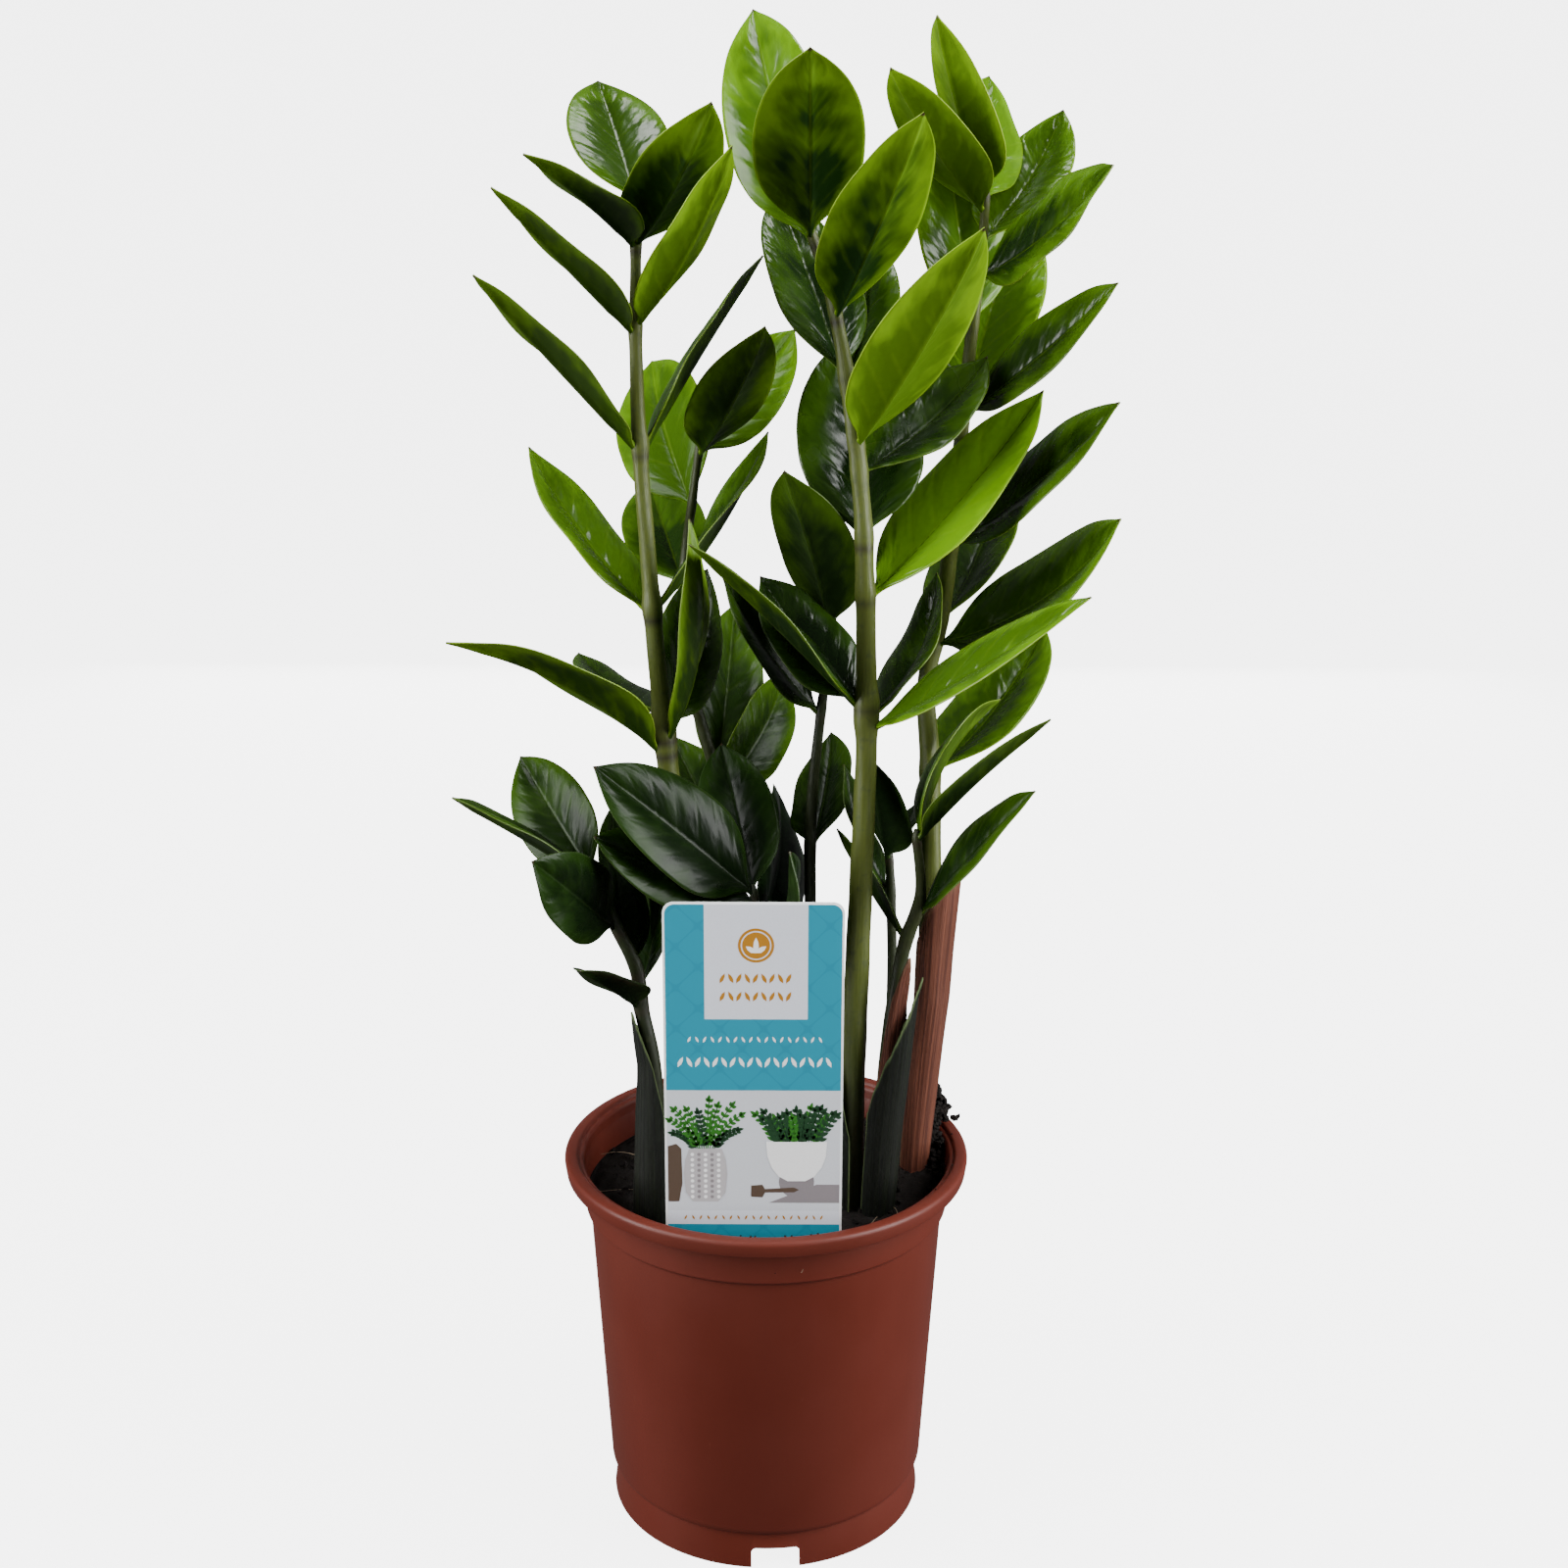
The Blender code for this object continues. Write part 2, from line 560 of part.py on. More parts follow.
def make_label():
    bm = bmesh.new()
    half, corner = LABEL_WIDTH / 2, LABEL_CORNER
    bottom, top = SOIL_LEVEL - LABEL_DEPTH, SOIL_LEVEL - LABEL_DEPTH + LABEL_HEIGHT
    reach = half + abs(LABEL_OFFSET)
    inner = inside_radius(bottom) - 0.002
    front = -math.sqrt(inner ** 2 - reach ** 2)
    outline = [(-half, bottom), (half, bottom)]
    for start, cx in ((0, half - corner), (90, corner - half)):
        for step in range(5):
            angle = math.radians(start + 22.5 * step)
            outline.append((cx + corner * math.cos(angle), top - corner + corner * math.sin(angle)))
    rings = []
    for y in (front, front - LABEL_THICKNESS):
        rings.append([bm.verts.new((LABEL_OFFSET + x, y, z)) for x, z in outline])
    join_rings(bm, rings)
    add_object("plant_label", bm, "label")
    slot = bmesh.new()
    rings = []
    for y in (front + GAP, front - LABEL_THICKNESS - GAP):
        rings.append([slot.verts.new((LABEL_OFFSET + x, y, z)) for x, z in (
            (-half - GAP, bottom - GAP), (half + GAP, bottom - GAP), (half + GAP, top),
            (-half - GAP, top))])
    join_rings(slot, rings)
    return slot, front


def make_sheath(name, bm):
    """A leafy scale wrapped part way round a stem's base, its top cut to a point."""
    stem, low, high, heading, half_angle, r0, r1, lean, drop, power, peak = SHEATHS[name]
    columns, levels = 10, 6
    shells = []
    for inner in (True, False):
        grid = []
        for j in range(levels + 1):
            row = []
            for i in range(columns + 1):
                t = -1 + 2 * i / columns
                angle = math.radians(heading + t * half_angle)
                fall = drop * (abs(t - peak) / (1 + abs(peak))) ** power
                top = low + (high - low) * (1 - fall)
                height = low + (top - low) * j / levels
                centre = stem_at(stem, height)
                share = (height - low) / (high - low)
                radius = (r0 + (r1 - r0) * share) * MM
                radius = max(radius, centre[3] + GAP + 0.0004) + (0 if inner else SHEATH_THICKNESS)
                lean_out = lean * MM * share ** 2
                x = centre[0] + radius * math.cos(angle) + lean_out * math.cos(
                    math.radians(heading))
                y = centre[1] + radius * math.sin(angle) + lean_out * math.sin(
                    math.radians(heading))
                ground = SOIL_LEVEL + mound(x, y) + GAP * 2 + 0.0005
                z = max(centre[2], ground) if j else ground
                row.append(bm.verts.new((x, y, max(z, ground + 0.004 * j / levels))))
            grid.append(row)
        shells.append(grid)
    inner, outer = shells
    for j in range(levels):
        for i in range(columns):
            bm.faces.new((inner[j][i], inner[j + 1][i], inner[j + 1][i + 1], inner[j][i + 1]))
            bm.faces.new((outer[j][i], outer[j][i + 1], outer[j + 1][i + 1], outer[j + 1][i]))
    for j in range(levels):
        for i in (0, columns):
            bm.faces.new((inner[j][i], outer[j][i], outer[j + 1][i], inner[j + 1][i]))
    for i in range(columns):
        for j in (0, levels):
            bm.faces.new((inner[j][i], inner[j][i + 1], outer[j][i + 1], outer[j][i]))


def main():
    clear_scene()
    make_pot()
    soil = make_soil()
    cutter, front = make_label()
    obstacles = {}
    for stem in STEMS:
        rows = stem_frame(stem)
        grown = rows.copy()
        grown[0, 2] -= GAP
        count = int((grown[:, 2] < SOIL_LEVEL + 0.03).sum()) + 1
        tube(cutter, grown[:count], GAP)
        bm = bmesh.new()
        tube(bm, rows)
        obstacles[stem] = tree_of(bm)
    add_cutter = add_object("soil_cutter", cutter, "soil", helper=True)
    boolean(soil, add_cutter, "DIFFERENCE")
    for name in SHEATHS:
        bm = bmesh.new()
        make_sheath(name, bm)
        obstacles[name] = tree_of(bm.copy())
        brown = name in ("sheath_right", "sheath_front")
        add_object(name, bm, "sheath_brown" if brown else "sheath_dark")
    for name, height in (("plant_label", 0.0), ("rim", 0.0)):
        bm = bmesh.new()
        if name == "rim":
            bmesh.ops.create_cone(bm, cap_ends=True, segments=SEGMENTS, radius1=POT_RIM_RADIUS,
                                  radius2=POT_RIM_RADIUS, depth=POT_HEIGHT)
            bmesh.ops.translate(bm, verts=bm.verts, vec=(0, 0, POT_HEIGHT / 2 + 0.001))
        else:
            bmesh.ops.create_cube(bm, size=1.0)
            bmesh.ops.scale(bm, verts=bm.verts, vec=(LABEL_WIDTH, LABEL_THICKNESS, LABEL_HEIGHT))
            middle = SOIL_LEVEL - LABEL_DEPTH + LABEL_HEIGHT / 2
            bmesh.ops.translate(bm, verts=bm.verts, vec=(
                LABEL_OFFSET, front - LABEL_THICKNESS / 2, middle))
        obstacles[name] = tree_of(bm)
    placed = part_leaflets(obstacles)

    for stem in STEMS:
        bm = bmesh.new()
        tube(bm, stem_frame(stem))
        if stem in TALL:
            add_object("stem_" + stem, bm, "stem")
            for row in LEAFLETS[stem]:
                bm = bmesh.new()
                leaf_mesh(bm, leaf_points(stem, placed[stem, row[0]]))
                add_object(stem + "_" + row[0], bm, "leaf")
            continue
        shoot = add_object("shoot_" + stem, bm, "shoot")
        bm = bmesh.new()
        for row in LEAFLETS[stem]:
            leaf_mesh(bm, leaf_points(stem, placed[stem, row[0]], sunk=True))
        blades = add_object("blades_" + stem, bm, "shoot", helper=True)
        boolean(shoot, blades, "UNION")

    stand = bpy.data.objects.new("potted_plant", None)
    bpy.context.scene.collection.objects.link(stand)
    stand.location = (STAND_X, STAND_Y, 0.0)
    for obj in bpy.data.objects:
        if obj.type == "MESH":
            obj.parent = stand
    return placed


PLACED = main()
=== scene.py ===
# %% [markdown]
# # A potted ZZ plant
# A young ZZ plant stands in a thin nursery pot. Three tall fronds carry thick oval leaflets in
# two loose rows, and six short shoots fill the middle. Papery sheaths wrap the stem bases, and
# a plastic plant label is stuck in the peat in front of them.
# The solid model already says where every piece is. This lesson grows the visible surfaces
# around it: finer shapes, and finishes made with nodes.

# %% Load the frame and measure it
import json
import math
import random

import bmesh
import bpy
import numpy as np
from mathutils import Matrix, Vector, noise

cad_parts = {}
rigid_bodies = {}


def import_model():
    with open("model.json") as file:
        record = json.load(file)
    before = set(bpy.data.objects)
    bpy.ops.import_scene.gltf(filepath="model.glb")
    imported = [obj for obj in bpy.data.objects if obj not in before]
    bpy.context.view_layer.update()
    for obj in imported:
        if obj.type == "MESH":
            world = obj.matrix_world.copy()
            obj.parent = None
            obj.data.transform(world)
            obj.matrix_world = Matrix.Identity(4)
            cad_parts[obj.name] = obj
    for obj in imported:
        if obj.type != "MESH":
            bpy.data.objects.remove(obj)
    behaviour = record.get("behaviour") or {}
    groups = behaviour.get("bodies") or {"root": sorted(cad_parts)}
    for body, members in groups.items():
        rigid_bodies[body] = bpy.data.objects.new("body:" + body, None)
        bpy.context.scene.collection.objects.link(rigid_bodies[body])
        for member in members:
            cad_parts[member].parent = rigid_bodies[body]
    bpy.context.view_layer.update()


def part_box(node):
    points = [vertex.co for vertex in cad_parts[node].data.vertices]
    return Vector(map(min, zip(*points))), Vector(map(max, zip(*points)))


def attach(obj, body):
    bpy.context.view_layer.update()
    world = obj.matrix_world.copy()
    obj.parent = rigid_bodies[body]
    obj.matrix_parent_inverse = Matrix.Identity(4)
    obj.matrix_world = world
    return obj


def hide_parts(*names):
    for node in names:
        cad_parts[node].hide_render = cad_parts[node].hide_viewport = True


for leftover in list(bpy.data.objects):
    bpy.data.objects.remove(leftover, do_unlink=True)
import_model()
pot_low, pot_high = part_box("pot")
POT_AXIS = (pot_low + pot_high) / 2
POT_AXIS.z = 0.0
RIM = pot_high.x - POT_AXIS.x
POT_TOP = pot_high.z
MM = 0.001

# %% [markdown]
# ## Camera
# The plant is looked at from a little above, so the rim shows as an oval and the peat inside can
# be seen. A 50 mm lens a bit under a metre away keeps the slight convergence of the pot's sides.

# %% Camera
CAMERA_SPOT = (0.007, -0.841, 0.569)
CAMERA_TILT, CAMERA_ROLL = 73.5, 0.2
lens = bpy.data.cameras.new("camera")
lens.lens = 50.0
lens.sensor_width = 36.0
lens.clip_start = 0.01
camera = bpy.data.objects.new("camera", lens)
camera.location = POT_AXIS + Vector(CAMERA_SPOT)
camera.rotation_euler = (Matrix.Rotation(math.radians(CAMERA_TILT), 3, "X")
                         @ Matrix.Rotation(math.radians(CAMERA_ROLL), 3, "Z")).to_euler()
bpy.context.scene.collection.objects.link(camera)
bpy.context.scene.camera = camera
print("camera stands at", [round(v, 3) for v in camera.location])

# %% [markdown]
# ## Finishes from nodes
# Every finish starts from a Principled shader. A Value wraps what comes out of a node, so that
# nodes can be added, subtracted and multiplied like numbers, and a finish reads as a short list
# of steps instead of a web of links.

# %% Helpers for finishes
class Value:
    """What comes out of a node. + - * and abs() each add one Math node."""

    def __init__(self, tree, socket):
        self.tree, self.socket = tree, socket

    def __add__(self, other):
        return calc("ADD", self, other)

    def __sub__(self, other):
        return calc("SUBTRACT", self, other)

    def __rsub__(self, other):
        return calc("SUBTRACT", other, self)

    def __mul__(self, other):
        return calc("MULTIPLY", self, other)

    def __abs__(self):
        return calc("ABSOLUTE", self)


def feed(socket, value):
    """Link a value into a socket if it comes out of a node, or else set it there."""
    if isinstance(value, Value):
        value.tree.links.new(value.socket, socket)
    elif isinstance(value, tuple) and len(value) == 3 and socket.type == "RGBA":
        socket.default_value = (*value, 1.0)
    else:
        socket.default_value = value


def add_node(tree, kind, *fed):
    """A new node, with the values in fed at its first sockets."""
    node = tree.nodes.new("ShaderNode" + kind)
    for socket, value in zip(node.inputs, fed):
        feed(socket, value)
    return node


def calc(operation, first, second=0.0, clamp=False):
    tree = (first if isinstance(first, Value) else second).tree
    node = add_node(tree, "Math", first, second)
    node.operation, node.use_clamp = operation, clamp
    return Value(tree, node.outputs[0])


def fade(value, start, end, low=0.0, high=1.0):
    """Go softly from low to high while value goes from start to end."""
    node = add_node(value.tree, "MapRange", value, start, end, low, high)
    node.interpolation_type = "SMOOTHSTEP"
    return Value(value.tree, node.outputs[0])


def blend(share, first, second):
    """Mix two colours."""
    node = share.tree.nodes.new("ShaderNodeMix")
    node.data_type = "RGBA"
    for index, value in ((0, share), (6, first), (7, second)):
        feed(node.inputs[index], value)
    return Value(share.tree, node.outputs[2])


def speckle(where, scale, detail=3.0, rough=0.55, stretch=(1.0, 1.0, 1.0)):
    """Soft noise from 0 to 1, stretched along an axis where wanted."""
    mapping = add_node(where.tree, "Mapping", where)
    mapping.inputs["Scale"].default_value = stretch
    node = add_node(where.tree, "TexNoise")
    feed(node.inputs["Vector"], Value(where.tree, mapping.outputs[0]))
    for key, value in (("Scale", scale), ("Detail", detail), ("Roughness", rough)):
        node.inputs[key].default_value = value
    return Value(where.tree, node.outputs[0])


def split(place):
    """The three numbers of a place."""
    node = add_node(place.tree, "SeparateXYZ", place)
    return [Value(place.tree, socket) for socket in node.outputs]


def on_object(tree):
    return Value(tree, add_node(tree, "TexCoord").outputs["Object"])


def on_surface(tree, layer):
    """A piece's UV map from when it was grown: the place itself, then across and along."""
    node = add_node(tree, "UVMap")
    node.uv_map = layer
    place = Value(tree, node.outputs[0])
    return place, *split(place)[:2]


def marked(tree, name):
    """A number that each vertex of the mesh carries."""
    node = add_node(tree, "Attribute")
    node.attribute_name = name
    return Value(tree, node.outputs["Fac"])


def new_finish(name, roughness=0.5, **sockets):
    """A material with its node tree and its Principled shader."""
    finish = bpy.data.materials.new(name)
    finish.use_nodes = True
    shader = finish.node_tree.nodes["Principled BSDF"]
    shader.inputs["Roughness"].default_value = roughness
    for key, value in sockets.items():
        feed(shader.inputs[key.replace("_", " ")], value)
    return finish, finish.node_tree, shader


def dress(shader, tone, roughness=None, height=None, distance=0.0, strength=1.0):
    """Give a shader its colour and, where wanted, its roughness and its relief."""
    feed(shader.inputs["Base Color"], tone)
    if roughness is not None:
        feed(shader.inputs["Roughness"], roughness)
    if height is not None:
        node = add_node(height.tree, "Bump")
        for key, value in (("Distance", distance), ("Strength", strength), ("Height", height)):
            feed(node.inputs[key], value)
        feed(shader.inputs["Normal"], Value(height.tree, node.outputs[0]))

# %% [markdown]
# ## Growing a surface from a grid
# Leaflets, stems and sheaths are all a flat grid at first. Each vertex of the grid is moved to
# its place by a rule, which keeps the rows and columns, so finishes can follow the surface
# through the UV map. Here are the helpers for that, for turned shapes, and for making pieces.

# %% Helpers for pieces
def flat_grid(columns, rows, layer):
    """A bmesh grid with its UV map, and each vertex's place across (-1..1) and along (0..1)."""
    bm = bmesh.new()
    bmesh.ops.create_grid(bm, x_segments=columns, y_segments=rows, size=1.0)
    chart = bm.loops.layers.uv.new(layer)
    for face in bm.faces:
        for corner in face.loops:
            spot = corner.vert.co
            corner[chart].uv = (0.5 + 0.5 * spot.x, 0.5 + 0.5 * spot.y)
    spots = np.array([v.co[:2] for v in bm.verts])
    return bm, spots[:, 0], 0.5 + 0.5 * spots[:, 1]


def spin_outline(outline, steps):
    """Turn an outline of (radius, height) round the upright axis."""
    bm = bmesh.new()
    chain = [bm.verts.new((r, 0.0, z)) for r, z in outline]
    edges = [bm.edges.new(pair) for pair in zip(chain, chain[1:])]
    bmesh.ops.spin(bm, geom=chain + edges, cent=(0, 0, 0), axis=(0, 0, 1), dvec=(0, 0, 0),
                   angle=2 * math.pi, steps=steps, use_merge=True, use_duplicate=False)
    bmesh.ops.remove_doubles(bm, verts=bm.verts, dist=1e-6)
    bmesh.ops.recalc_face_normals(bm, faces=bm.faces)
    return bm


def soften(bm, offset, angle):
    """Bevel every edge that is sharper than the angle."""
    sharp = [e for e in bm.edges if len(e.link_faces) == 2 and e.calc_face_angle() > angle]
    bmesh.ops.bevel(bm, geom=sharp, offset=offset, offset_type="OFFSET", affect="EDGES",
                    segments=2, profile=0.5, material=-1, clamp_overlap=True)


def move_to(verts, points):
    for vert, point in zip(verts, points):
        vert.co = point


def mark(bm, name, values):
    """Give each vertex a number that a finish can read."""
    layer = bm.verts.layers.float.new(name)
    for vert, value in zip(bm.verts, np.broadcast_to(values, len(bm.verts))):
        vert[layer] = float(value)


def new_object(bm, name, finishes):
    mesh = bpy.data.meshes.new(name)
    bm.to_mesh(mesh)
    bm.free()
    for finish in finishes:
        mesh.materials.append(finish)
    mesh.shade_smooth()
    made = bpy.data.objects.new(name, mesh)
    bpy.context.scene.collection.objects.link(made)
    return made


def joined(name, parts):
    """Join several objects into the first of them."""
    first = parts[0]
    if len(parts) > 1:
        with bpy.context.temp_override(active_object=first, object=first,
                                       selected_editable_objects=parts,
                                       selected_objects=parts):
            bpy.ops.object.join()
    first.name = name
    first.data.name = name
    return first


def finish_piece(made, slot, *nodes):
    """The piece rides on the one body and stands for its nodes, which are hidden. slot is not used.
    """
    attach(made, "root")
    if nodes:
        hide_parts(*nodes)
    return made


def smooth_curve(at, xs, ys):
    """A smooth curve through the points (xs, ys), read at the places in at."""
    xs, ys = np.asarray(xs, float), np.asarray(ys, float)
    at = np.clip(np.asarray(at, float), xs[0], xs[-1])
    slope = np.gradient(ys, xs)
    i = np.clip(np.searchsorted(xs, at) - 1, 0, len(xs) - 2)
    step = xs[i + 1] - xs[i]
    t = (at - xs[i]) / step
    return ((2 * t ** 3 - 3 * t ** 2 + 1) * ys[i] + (t ** 3 - 2 * t ** 2 + t) * step * slope[i]
            + (3 * t ** 2 - 2 * t ** 3) * ys[i + 1] + (t ** 3 - t ** 2) * step * slope[i + 1])

# %% [markdown]
# ## Floor, backdrop and light
# A product studio paints its floor and its walls in one pale sweep, so that no line shows where
# they meet. Here the sweep is a spun outline: a disc that curves up into a round wall. It glows
# softly by itself but lends no light to the plant, so the soft boxes alone shape the plant: one
# tall box at each side, which leaves the middle of the pot darker than its flanks, one above, and
# one behind that lights the back but shows in no gloss.

# %% Floor, backdrop and lamps
SWEEP = ((0.0, 0.0), (5.0, 0.0), (5.8, 0.2), (6.3, 0.7), (6.5, 1.5), (6.5, 9.0))
SWEEP_GLOW, SKY_GLOW = 5.0, 0.13


def studio_sweep():
    bm = spin_outline(SWEEP, 96)
    if min(bm.faces, key=lambda face: face.calc_center_median().z).normal.z < 0:
        bmesh.ops.reverse_faces(bm, faces=bm.faces)
    paint, _, _ = new_finish("pale_paint", 0.9, Base_Color=(0.3, 0.3, 0.3),
                             Specular_IOR_Level=0.1, Emission_Color=(1.0, 1.0, 1.0),
                             Emission_Strength=SWEEP_GLOW)
    sheet = new_object(bm, "floor", [paint])
    sheet.visible_diffuse = False
    sheet.visible_glossy = False
    sheet.visible_shadow = False


studio_sweep()
world = bpy.data.worlds.new("studio")
world.use_nodes = True
sky = world.node_tree.nodes["Background"]
sky.inputs["Color"].default_value = (1.0, 1.0, 1.0, 1.0)
sky.inputs["Strength"].default_value = SKY_GLOW
bpy.context.scene.world = world


def soft_box(name, spot, aim_height, width, height, power, glossy=True):
    data = bpy.data.lights.new(name, "AREA")
    data.shape = "RECTANGLE"
    data.size, data.size_y, data.energy = width, height, power
    lamp = bpy.data.objects.new(name, data)
    lamp.location = spot
    aim = Vector((0, 0, aim_height))
    lamp.rotation_euler = (aim - Vector(spot)).to_track_quat("-Z", "Y").to_euler()
    lamp.visible_glossy = glossy
    bpy.context.scene.collection.objects.link(lamp)


soft_box("box_left", (-1.15, -0.50, 0.75), 0.32, 0.7, 1.5, 46)
soft_box("box_right", (1.15, -0.45, 0.75), 0.32, 0.7, 1.5, 54)
soft_box("box_top", (0.1, 0.10, 1.80), 0.35, 0.5, 0.5, 13)
soft_box("box_back", (0.0, 1.50, 0.45), 0.30, 1.5, 0.8, 34, glossy=False)
print("one floor that sweeps up to a wall, four soft boxes")

# %% [markdown]
# ## The pot
# A nursery pot is moulded in thin brown-red plastic: a rolled-over lip, a straight shoulder that
# lets pots stack, a tapering body and a narrower foot ring. A turned shape is best made by
# spinning its outline; the bevel then takes the sharpness off each moulded corner.

# %% The pot's outline, spun and bevelled
WALL = 1.4 * MM
SHOULDER = RIM - 7.5 * MM
OUTER_SHOULDER = RIM - 8.2 * MM
BODY = SHOULDER - 3.0 * MM
BASE = BODY - 7.0 * MM
FOOT = BASE - 3.0 * MM
STEP_Z = POT_TOP - 24.0 * MM
FLOOR_Z = 10.0 * MM
LIP = RIM - WALL - 0.5 * MM
OUTLINE = (
    (0.0, FLOOR_Z), (FOOT - WALL, FLOOR_Z), (FOOT + 0.6 * MM, 0.0), (FOOT + 2.0 * MM, 0.0),
    (FOOT, 15.0 * MM), (BASE - 1.0 * MM, 16.4 * MM), (BASE, 19.0 * MM), (BODY, STEP_Z),
    (OUTER_SHOULDER - 0.3 * MM, STEP_Z + 1.6 * MM), (OUTER_SHOULDER, POT_TOP - 2.6 * MM),
    (OUTER_SHOULDER + 1.0 * MM, POT_TOP - WALL), (LIP, POT_TOP - WALL), (LIP, POT_TOP - 7.0 * MM),
    (RIM - 0.8 * MM, POT_TOP - 7.0 * MM), (RIM, POT_TOP - 1.6 * MM),
    (RIM - 0.5 * MM, POT_TOP - 0.4 * MM), (RIM - 1.5 * MM, POT_TOP),
    (RIM - 5.0 * MM, POT_TOP), (RIM - 5.8 * MM, POT_TOP - 1.0 * MM),
    (SHOULDER - WALL, POT_TOP - 8.0 * MM), (SHOULDER - WALL, STEP_Z + 6.0 * MM),
    (BODY - WALL, STEP_Z), (BASE - WALL, FLOOR_Z + WALL + 7.0 * MM),
    (BASE - WALL - 3.0 * MM, FLOOR_Z + WALL), (0.0, FLOOR_Z + WALL),
)
SPIN_STEPS = 180
CORNER = 0.45 * MM
SHARP = math.radians(24)

pot_bm = spin_outline(OUTLINE, SPIN_STEPS)
soften(pot_bm, CORNER, SHARP)
bmesh.ops.translate(pot_bm, verts=pot_bm.verts, vec=POT_AXIS)
print("the pot has", len(pot_bm.faces), "faces")

# %% [markdown]
# Three notches in the foot ring and a ring of round holes in the floor let water out. They are
# cut with a Boolean, because a cut follows the curved wall by itself.

# %% Cut the notches and the drain holes
NOTCHES, NOTCH_WIDTH, NOTCH_HEIGHT, NOTCH_TURN = 3, 20.0 * MM, 8.6 * MM, -86.0
DRAIN_RADIUS, DRAIN_RING, DRAINS = 6.0 * MM, 42.0 * MM, 6


def cutters():
    bm = bmesh.new()
    for i in range(NOTCHES):
        block = bmesh.ops.create_cube(bm, size=1.0)["verts"]
        bmesh.ops.scale(bm, verts=block, vec=(24 * MM, NOTCH_WIDTH, 2 * NOTCH_HEIGHT))
        edges = [e for e in bm.edges if e.verts[0] in block and e.verts[0].co.z > 0
                 and e.verts[1].co.z > 0 and abs(e.verts[0].co.y - e.verts[1].co.y) < 1e-6]
        bmesh.ops.bevel(bm, geom=edges, offset=2 * MM, offset_type="OFFSET", affect="EDGES",
                        segments=4, profile=0.5, material=-1)
        block = list({v for v in bm.verts if v.co.length < 0.03})
        turn = math.radians(NOTCH_TURN + 360 / NOTCHES * i)
        place = Matrix.Rotation(turn, 4, "Z") @ Matrix.Translation((FOOT, 0, 0))
        bmesh.ops.transform(bm, matrix=place, verts=block)
    spots = [(DRAIN_RING, 360 / DRAINS * (i + 0.5)) for i in range(DRAINS)] + [(0.0, 0.0)]
    for reach, turn in spots:
        place = Matrix.Rotation(math.radians(turn), 4, "Z") @ Matrix.Translation(
            (reach, 0, FLOOR_Z + WALL / 2))
        bmesh.ops.create_cone(bm, cap_ends=True, segments=32, radius1=DRAIN_RADIUS,
                              radius2=DRAIN_RADIUS, depth=8 * MM, matrix=place)
    bmesh.ops.translate(bm, verts=bm.verts, vec=POT_AXIS)
    return bm


def cut(body, tool):
    """Cut the tool out of the body, then keep the result and drop the tool."""
    modifier = body.modifiers.new("cut", "BOOLEAN")
    modifier.operation = "DIFFERENCE"
    modifier.solver = "EXACT"
    modifier.object = tool
    graph = bpy.context.evaluated_depsgraph_get()
    result = bpy.data.meshes.new_from_object(body.evaluated_get(graph))
    body.modifiers.remove(modifier)
    body.data = result
    bpy.data.objects.remove(tool, do_unlink=True)


def pot_finish():
    """Brown-red moulded plastic with faint flow marks up the wall and pale scuffs."""
    finish, tree, shader = new_finish("moulded_plastic", 0.48, Specular_IOR_Level=0.36)
    where = on_object(tree)
    flow = speckle(where, 60.0, 4.0, 0.6, (1.0, 1.0, 0.12))
    cloud = speckle(where, 14.0, 3.0)
    grain = speckle(where, 900.0, 2.0, 0.7)
    scuff = fade(speckle(where, 120.0, 5.0, 0.7, (1.0, 1.0, 0.4)), 0.66, 0.78)
    tone = blend(cloud, (0.085, 0.0125, 0.0062), (0.115, 0.0175, 0.0085))
    tone = blend(flow * 0.35, tone, (0.065, 0.0100, 0.0055))
    tone = blend(scuff * 0.22, tone, (0.21, 0.062, 0.038))
    dress(shader, tone, fade(cloud, 0.3, 0.7, 0.42, 0.56), flow * 0.6 + grain * 0.12, 0.00025, 0.6)
    return finish


pot = new_object(pot_bm, "nursery_pot", [pot_finish()])
cut(pot, new_object(cutters(), "pot_cutter", []))
pot.data.shade_smooth()
pot.data.set_sharp_from_angle(angle=math.radians(40))
finish_piece(pot, "pot", "pot")
print("the pot is cut and has", len(pot.data.polygons), "faces")

# %% [markdown]
# ## The peat
# Potting mix is almost black peat: clods, dust and a few pale root fibres, heaped up at the back
# right and sunk at the front left. The bed is a spun outline again, so it fills the pot, and its
# top is then moved up and down by noise. Loose crumbs on it are small rough lumps.

# %% The peat bed
SOIL_LEVEL = POT_TOP - 17.0 * MM
SOIL_RADIUS = SHOULDER - WALL
HEAP = 14.0 * MM
RINGS = 64
rng = random.Random(7)


def heap(x, y):
    """Height of the peat above its level, for a place measured from the pot's axis."""
    high = math.exp(-((x - 0.62 * SOIL_RADIUS) ** 2 + (y - 0.30 * SOIL_RADIUS) ** 2)
                    / (0.45 * SOIL_RADIUS) ** 2)
    steep = math.exp(-((x - 0.91 * SOIL_RADIUS) ** 2 + (y - 0.34 * SOIL_RADIUS) ** 2)
                     / (0.22 * SOIL_RADIUS) ** 2)
    low = math.exp(-((x + 0.62 * SOIL_RADIUS) ** 2 + (y + 0.45 * SOIL_RADIUS) ** 2)
                   / (0.50 * SOIL_RADIUS) ** 2)
    return HEAP * (0.60 * high + 1.65 * steep - 0.30 * low)


def rough(x, y):
    """Clods and dust, as a height in metres."""
    clods = noise.turbulence(Vector((x, y, 0.0)) * 130, 3, True)
    dust = noise.noise(Vector((x, y, 1.0)) * 900)
    return (2.6 * (clods - 0.5) + 0.45 * dust) * MM


